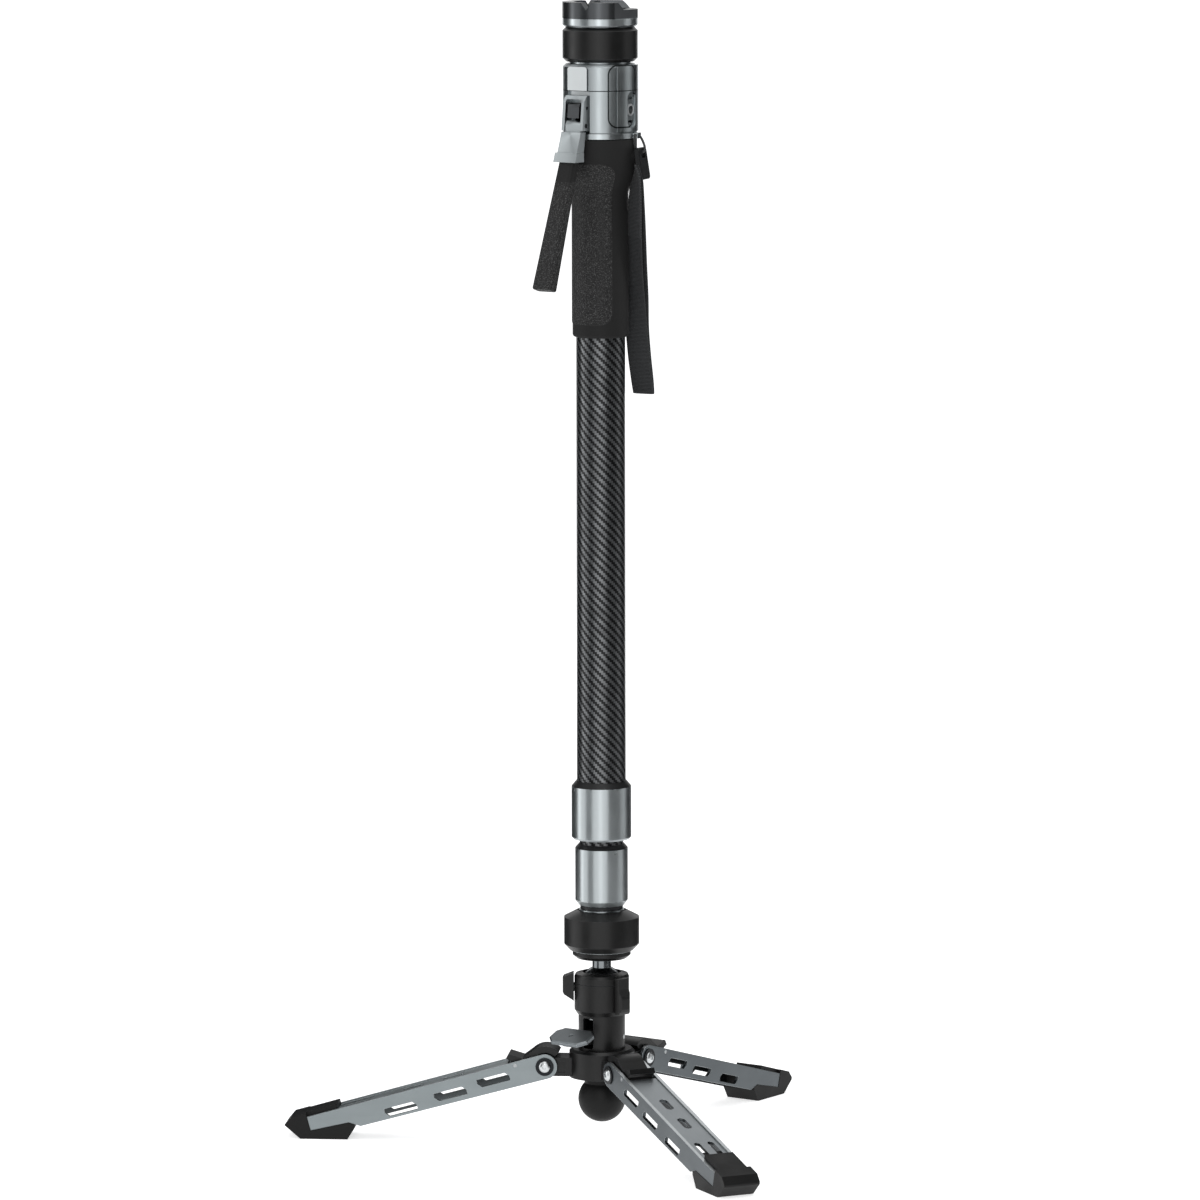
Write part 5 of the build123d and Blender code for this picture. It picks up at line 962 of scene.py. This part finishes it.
def braided_nylon(name, hex_text):
    """Braided nylon: two sets of plaits that cross, along the cord's own length. The hollows between
    the plaits are painted near black: painted shade.
    """
    material, tree = new_material(name)
    place = add_node(tree, "ShaderNodeTexCoord").outputs["UV"]
    left = add_node(
        tree, "ShaderNodeMapping", Vector=place, Rotation=(0, 0, plait_lean), Scale=(60, 6, 1),
    )
    right = add_node(
        tree, "ShaderNodeMapping", Vector=place, Rotation=(0, 0, -plait_lean), Scale=(60, 6, 1),
    )
    one = add_node(tree, "ShaderNodeTexWave", Vector=left, Scale=1.0)
    two = add_node(tree, "ShaderNodeTexWave", Vector=right, Scale=1.0)
    plait = add_node(
        tree, "ShaderNodeMath", {"operation": "MAXIMUM"},
        in0=one.outputs["Fac"], in1=two.outputs["Fac"],
    )
    # Painted shade: near black where the plaits are low, the cord's grey on their crowns.
    tone = add_node(
        tree, "ShaderNodeMixRGB", in0=plait, in1=colour("#0b0b0c"), in2=colour(hex_text),
    )
    relief = add_node(tree, "ShaderNodeBump", Strength=0.6, Distance=0.0001, Height=plait)
    skin = add_node(
        tree, "ShaderNodeBsdfPrincipled", Base_Color=tone, Roughness=0.6, Normal=relief,
    )
    skin.inputs["Sheen Weight"].default_value = 0.2
    add_node(tree, "ShaderNodeOutputMaterial", Surface=skin)
    return material


cord_curve = bpy.data.curves.new("wrist_cord", "CURVE")
cord_curve.dimensions = "3D"
cord_curve.bevel_depth = cord_diameter / 2
cord_curve.bevel_resolution = 5
cord_curve.resolution_u = 16
cord_line = cord_curve.splines.new("NURBS")
cord_line.points.add(len(cord_route) - 1)
for knot, point in zip(cord_line.points, cord_route):
    knot.co = (*point, 1.0)
cord_line.order_u = 3
cord_line.use_endpoint_u = True
cord_curve.materials.append(braided_nylon("braided nylon", "#2a2b2c"))
wrist_cord = bpy.data.objects.new("wrist_cord", cord_curve)
bpy.context.scene.collection.objects.link(wrist_cord)
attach(wrist_cord, "upper")
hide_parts("strap_cord")

# Wrist strap: nylon webbing folded into a loop, its two ends stitched together inside
# the buckle. The loop hangs beside the grip and twists as it falls.

strap_width = 0.0150
webbing_thickness = 0.0011
rows_per_span, fold_rows, band_columns = 20, 9, 40
edge_power, face_power = 0.5, 0.35
# Millimetres: the foot of the stitched overlap and the height over which it thickens
stitched_foot, stitched_ramp = 598.0, 0.5
# Millimetres: from rib to rib, and from float to float along a rib
rib_pitch, float_pitch = 0.9, 0.8
# Height, x and y of the visible layer in millimetres, its facing in degrees, and the
# loop's depth in millimetres
strap_stations = np.array([
    (646.0, 24.0, -9.4, -186.0, 2.2),
    (637.0, 23.6, -11.0, -160.0, 2.4),
    (620.0, 22.9, -10.8, -149.0, 3.2),
    (600.0, 22.4, -7.8, -144.0, 4.4),
    (580.0, 22.4, -3.6, -140.0, 5.0),
    (560.0, 22.9, 1.8, -130.0, 5.0),
    (540.0, 23.3, 7.4, -112.0, 4.6),
    (520.0, 25.0, 8.4, -106.0, 3.8),
    (504.0, 26.8, 9.0, -112.0, 3.2),
    (495.5, 27.8, 9.2, -118.0, 2.4),
])


def between_stations(stations, count):
    """Rows between stations by Catmull-Rom cubics, count rows to each span."""
    ends = np.vstack([2 * stations[0] - stations[1], stations, 2 * stations[-1] - stations[-2]])
    rows = []
    for before, start, stop, after in zip(ends, ends[1:], ends[2:], ends[3:]):
        for t in np.linspace(0, 1, count, endpoint=False):
            rows.append(
                0.5 * (
                    2 * start
                    + (stop - before) * t
                    + (2 * before - 5 * start + 4 * stop - after) * t**2
                    + (3 * start - before - 3 * stop + after) * t**3
                )
            )
    return np.array(rows + [stations[-1]])


def band_surface():
    """The band's skin: rows along its length, columns round its flat section.

    The path goes down the visible layer, round a half circle at the fold and up the
    hidden layer, which lies the loop's depth behind the first. Over the stitched end
    the visible layer is twice as thick. The section is a flat oval: the powers of the
    cosine and the sine give it flat faces and round edges.
    """
    rows = between_stations(strap_stations, rows_per_span)
    height, x, y, facing, depth = rows.T
    face = np.stack([np.cos(np.radians(facing)), np.sin(np.radians(facing)), 0 * facing], axis=-1)
    front = np.stack([x, y, height], axis=-1) / 1000
    gap = depth[:, None] / 1000 - webbing_thickness
    hidden = front - face * gap
    fold_turn = np.linspace(0, math.pi, fold_rows)[1:-1, None]
    fold_middle = (front[-1] + hidden[-1]) / 2
    fold = (
        fold_middle
        + face[-1] * gap[-1] / 2 * np.cos(fold_turn)
        - np.array([0, 0, 1]) * gap[-1] / 2 * np.sin(fold_turn)
    )
    fold_face = face[-1] * np.cos(fold_turn) - np.array([0, 0, 1]) * np.sin(fold_turn)
    path = np.vstack([front, fold, hidden[::-1]])
    outward = np.vstack([face, fold_face, -face[::-1]])
    widths = np.stack([-np.sin(np.radians(facing)), np.cos(np.radians(facing)), 0 * facing], axis=-1)
    across = np.vstack([widths, np.repeat(widths[-1:], len(fold), axis=0), widths[::-1]])
    half, thin = strap_width / 2, webbing_thickness / 2
    turn = np.linspace(0, 2 * math.pi, band_columns, endpoint=False)
    side = half * np.sign(np.cos(turn)) * np.abs(np.cos(turn)) ** edge_power
    lift = thin * np.sign(np.sin(turn)) * np.abs(np.sin(turn)) ** face_power
    doubled = np.zeros((len(path), 1))
    doubled[: len(height), 0] = smooth_step((height - stitched_foot) / stitched_ramp)
    raised = lift * (1 + doubled) + thin * doubled
    skin = path[:, None] + across[:, None] * side[:, None] + outward[:, None] * raised[..., None]
    run = np.concatenate([[0], np.cumsum(np.linalg.norm(np.diff(path, axis=0), axis=1))])
    return skin, run, side


def woven_nylon(name, hex_text):
    """Flat nylon webbing: ribs across it, each a row of warp floats set like bricks. The hollows
    between the floats are painted darker: painted shade.
    """
    material, tree = new_material(name)
    place = add_node(tree, "ShaderNodeTexCoord").outputs["UV"]
    counted = add_node(
        tree, "ShaderNodeVectorMath", {"operation": "DIVIDE"},
        in0=place, in1=(float_pitch, rib_pitch, 1.0),
    )
    parts = add_node(tree, "ShaderNodeSeparateXYZ", Vector=counted)
    row = add_node(tree, "ShaderNodeMath", {"operation": "FLOOR"}, in0=parts.outputs["Y"])
    # Each row starts half a float beside the one before
    shifted = add_node(
        tree, "ShaderNodeMath", {"operation": "MULTIPLY_ADD"},
        in0=row, in1=0.5, in2=parts.outputs["X"],
    )
    rib = add_node(
        tree, "ShaderNodeMath", {"operation": "PINGPONG"}, in0=parts.outputs["Y"], in1=0.5,
    )
    warp = add_node(tree, "ShaderNodeMath", {"operation": "PINGPONG"}, in0=shifted, in1=0.5)
    dome = add_node(tree, "ShaderNodeMath", {"operation": "MULTIPLY"}, in0=rib, in1=warp)
    height = add_node(tree, "ShaderNodeMath", {"operation": "MULTIPLY"}, in0=dome, in1=4.0)
    fuzz = add_node(tree, "ShaderNodeTexNoise", Vector=place, Scale=6.0, Detail=4.0)
    # Painted shade: darker where the weave is low, lighter on the floats' crowns.
    tone = add_node(
        tree, "ShaderNodeMixRGB", in0=height, in1=colour("#1a1a1b"), in2=colour(hex_text),
    )
    worn = add_node(
        tree, "ShaderNodeMixRGB", {"blend_type": "MULTIPLY"}, in0=0.4, in1=tone, in2=fuzz,
    )
    relief = add_node(tree, "ShaderNodeBump", Strength=0.7, Distance=0.00025, Height=height)
    skin = add_node(
        tree, "ShaderNodeBsdfPrincipled", Base_Color=worn, Roughness=0.7, Normal=relief,
    )
    skin.inputs["Sheen Weight"].default_value = 0.05
    skin.inputs["Specular IOR Level"].default_value = 0.15
    add_node(tree, "ShaderNodeOutputMaterial", Surface=skin)
    return material


band_skin, band_run, band_side = band_surface()
strap_nylon = woven_nylon("woven nylon", "#5c5e60")
wrist_strap = add_grid("wrist_strap", band_skin, strap_nylon, "upper")
band_mesh = wrist_strap.data
rows, columns = band_skin.shape[:2]
ends = [list(range(columns)), [(rows - 1) * columns + i for i in reversed(range(columns))]]
flat_mesh = bmesh.new()
flat_mesh.from_mesh(band_mesh)
flat_mesh.verts.ensure_lookup_table()
for ring in ends:
    flat_mesh.faces.new([flat_mesh.verts[i] for i in ring])
bmesh.ops.recalc_face_normals(flat_mesh, faces=flat_mesh.faces)
flat_map = flat_mesh.loops.layers.uv.new("band")
for face in flat_mesh.faces:
    for loop in face.loops:
        row, column = divmod(loop.vert.index, columns)
        loop[flat_map].uv = (band_side[column] * 1000, band_run[row] * 1000)
flat_mesh.to_mesh(band_mesh)
flat_mesh.free()
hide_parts("strap_webbing")
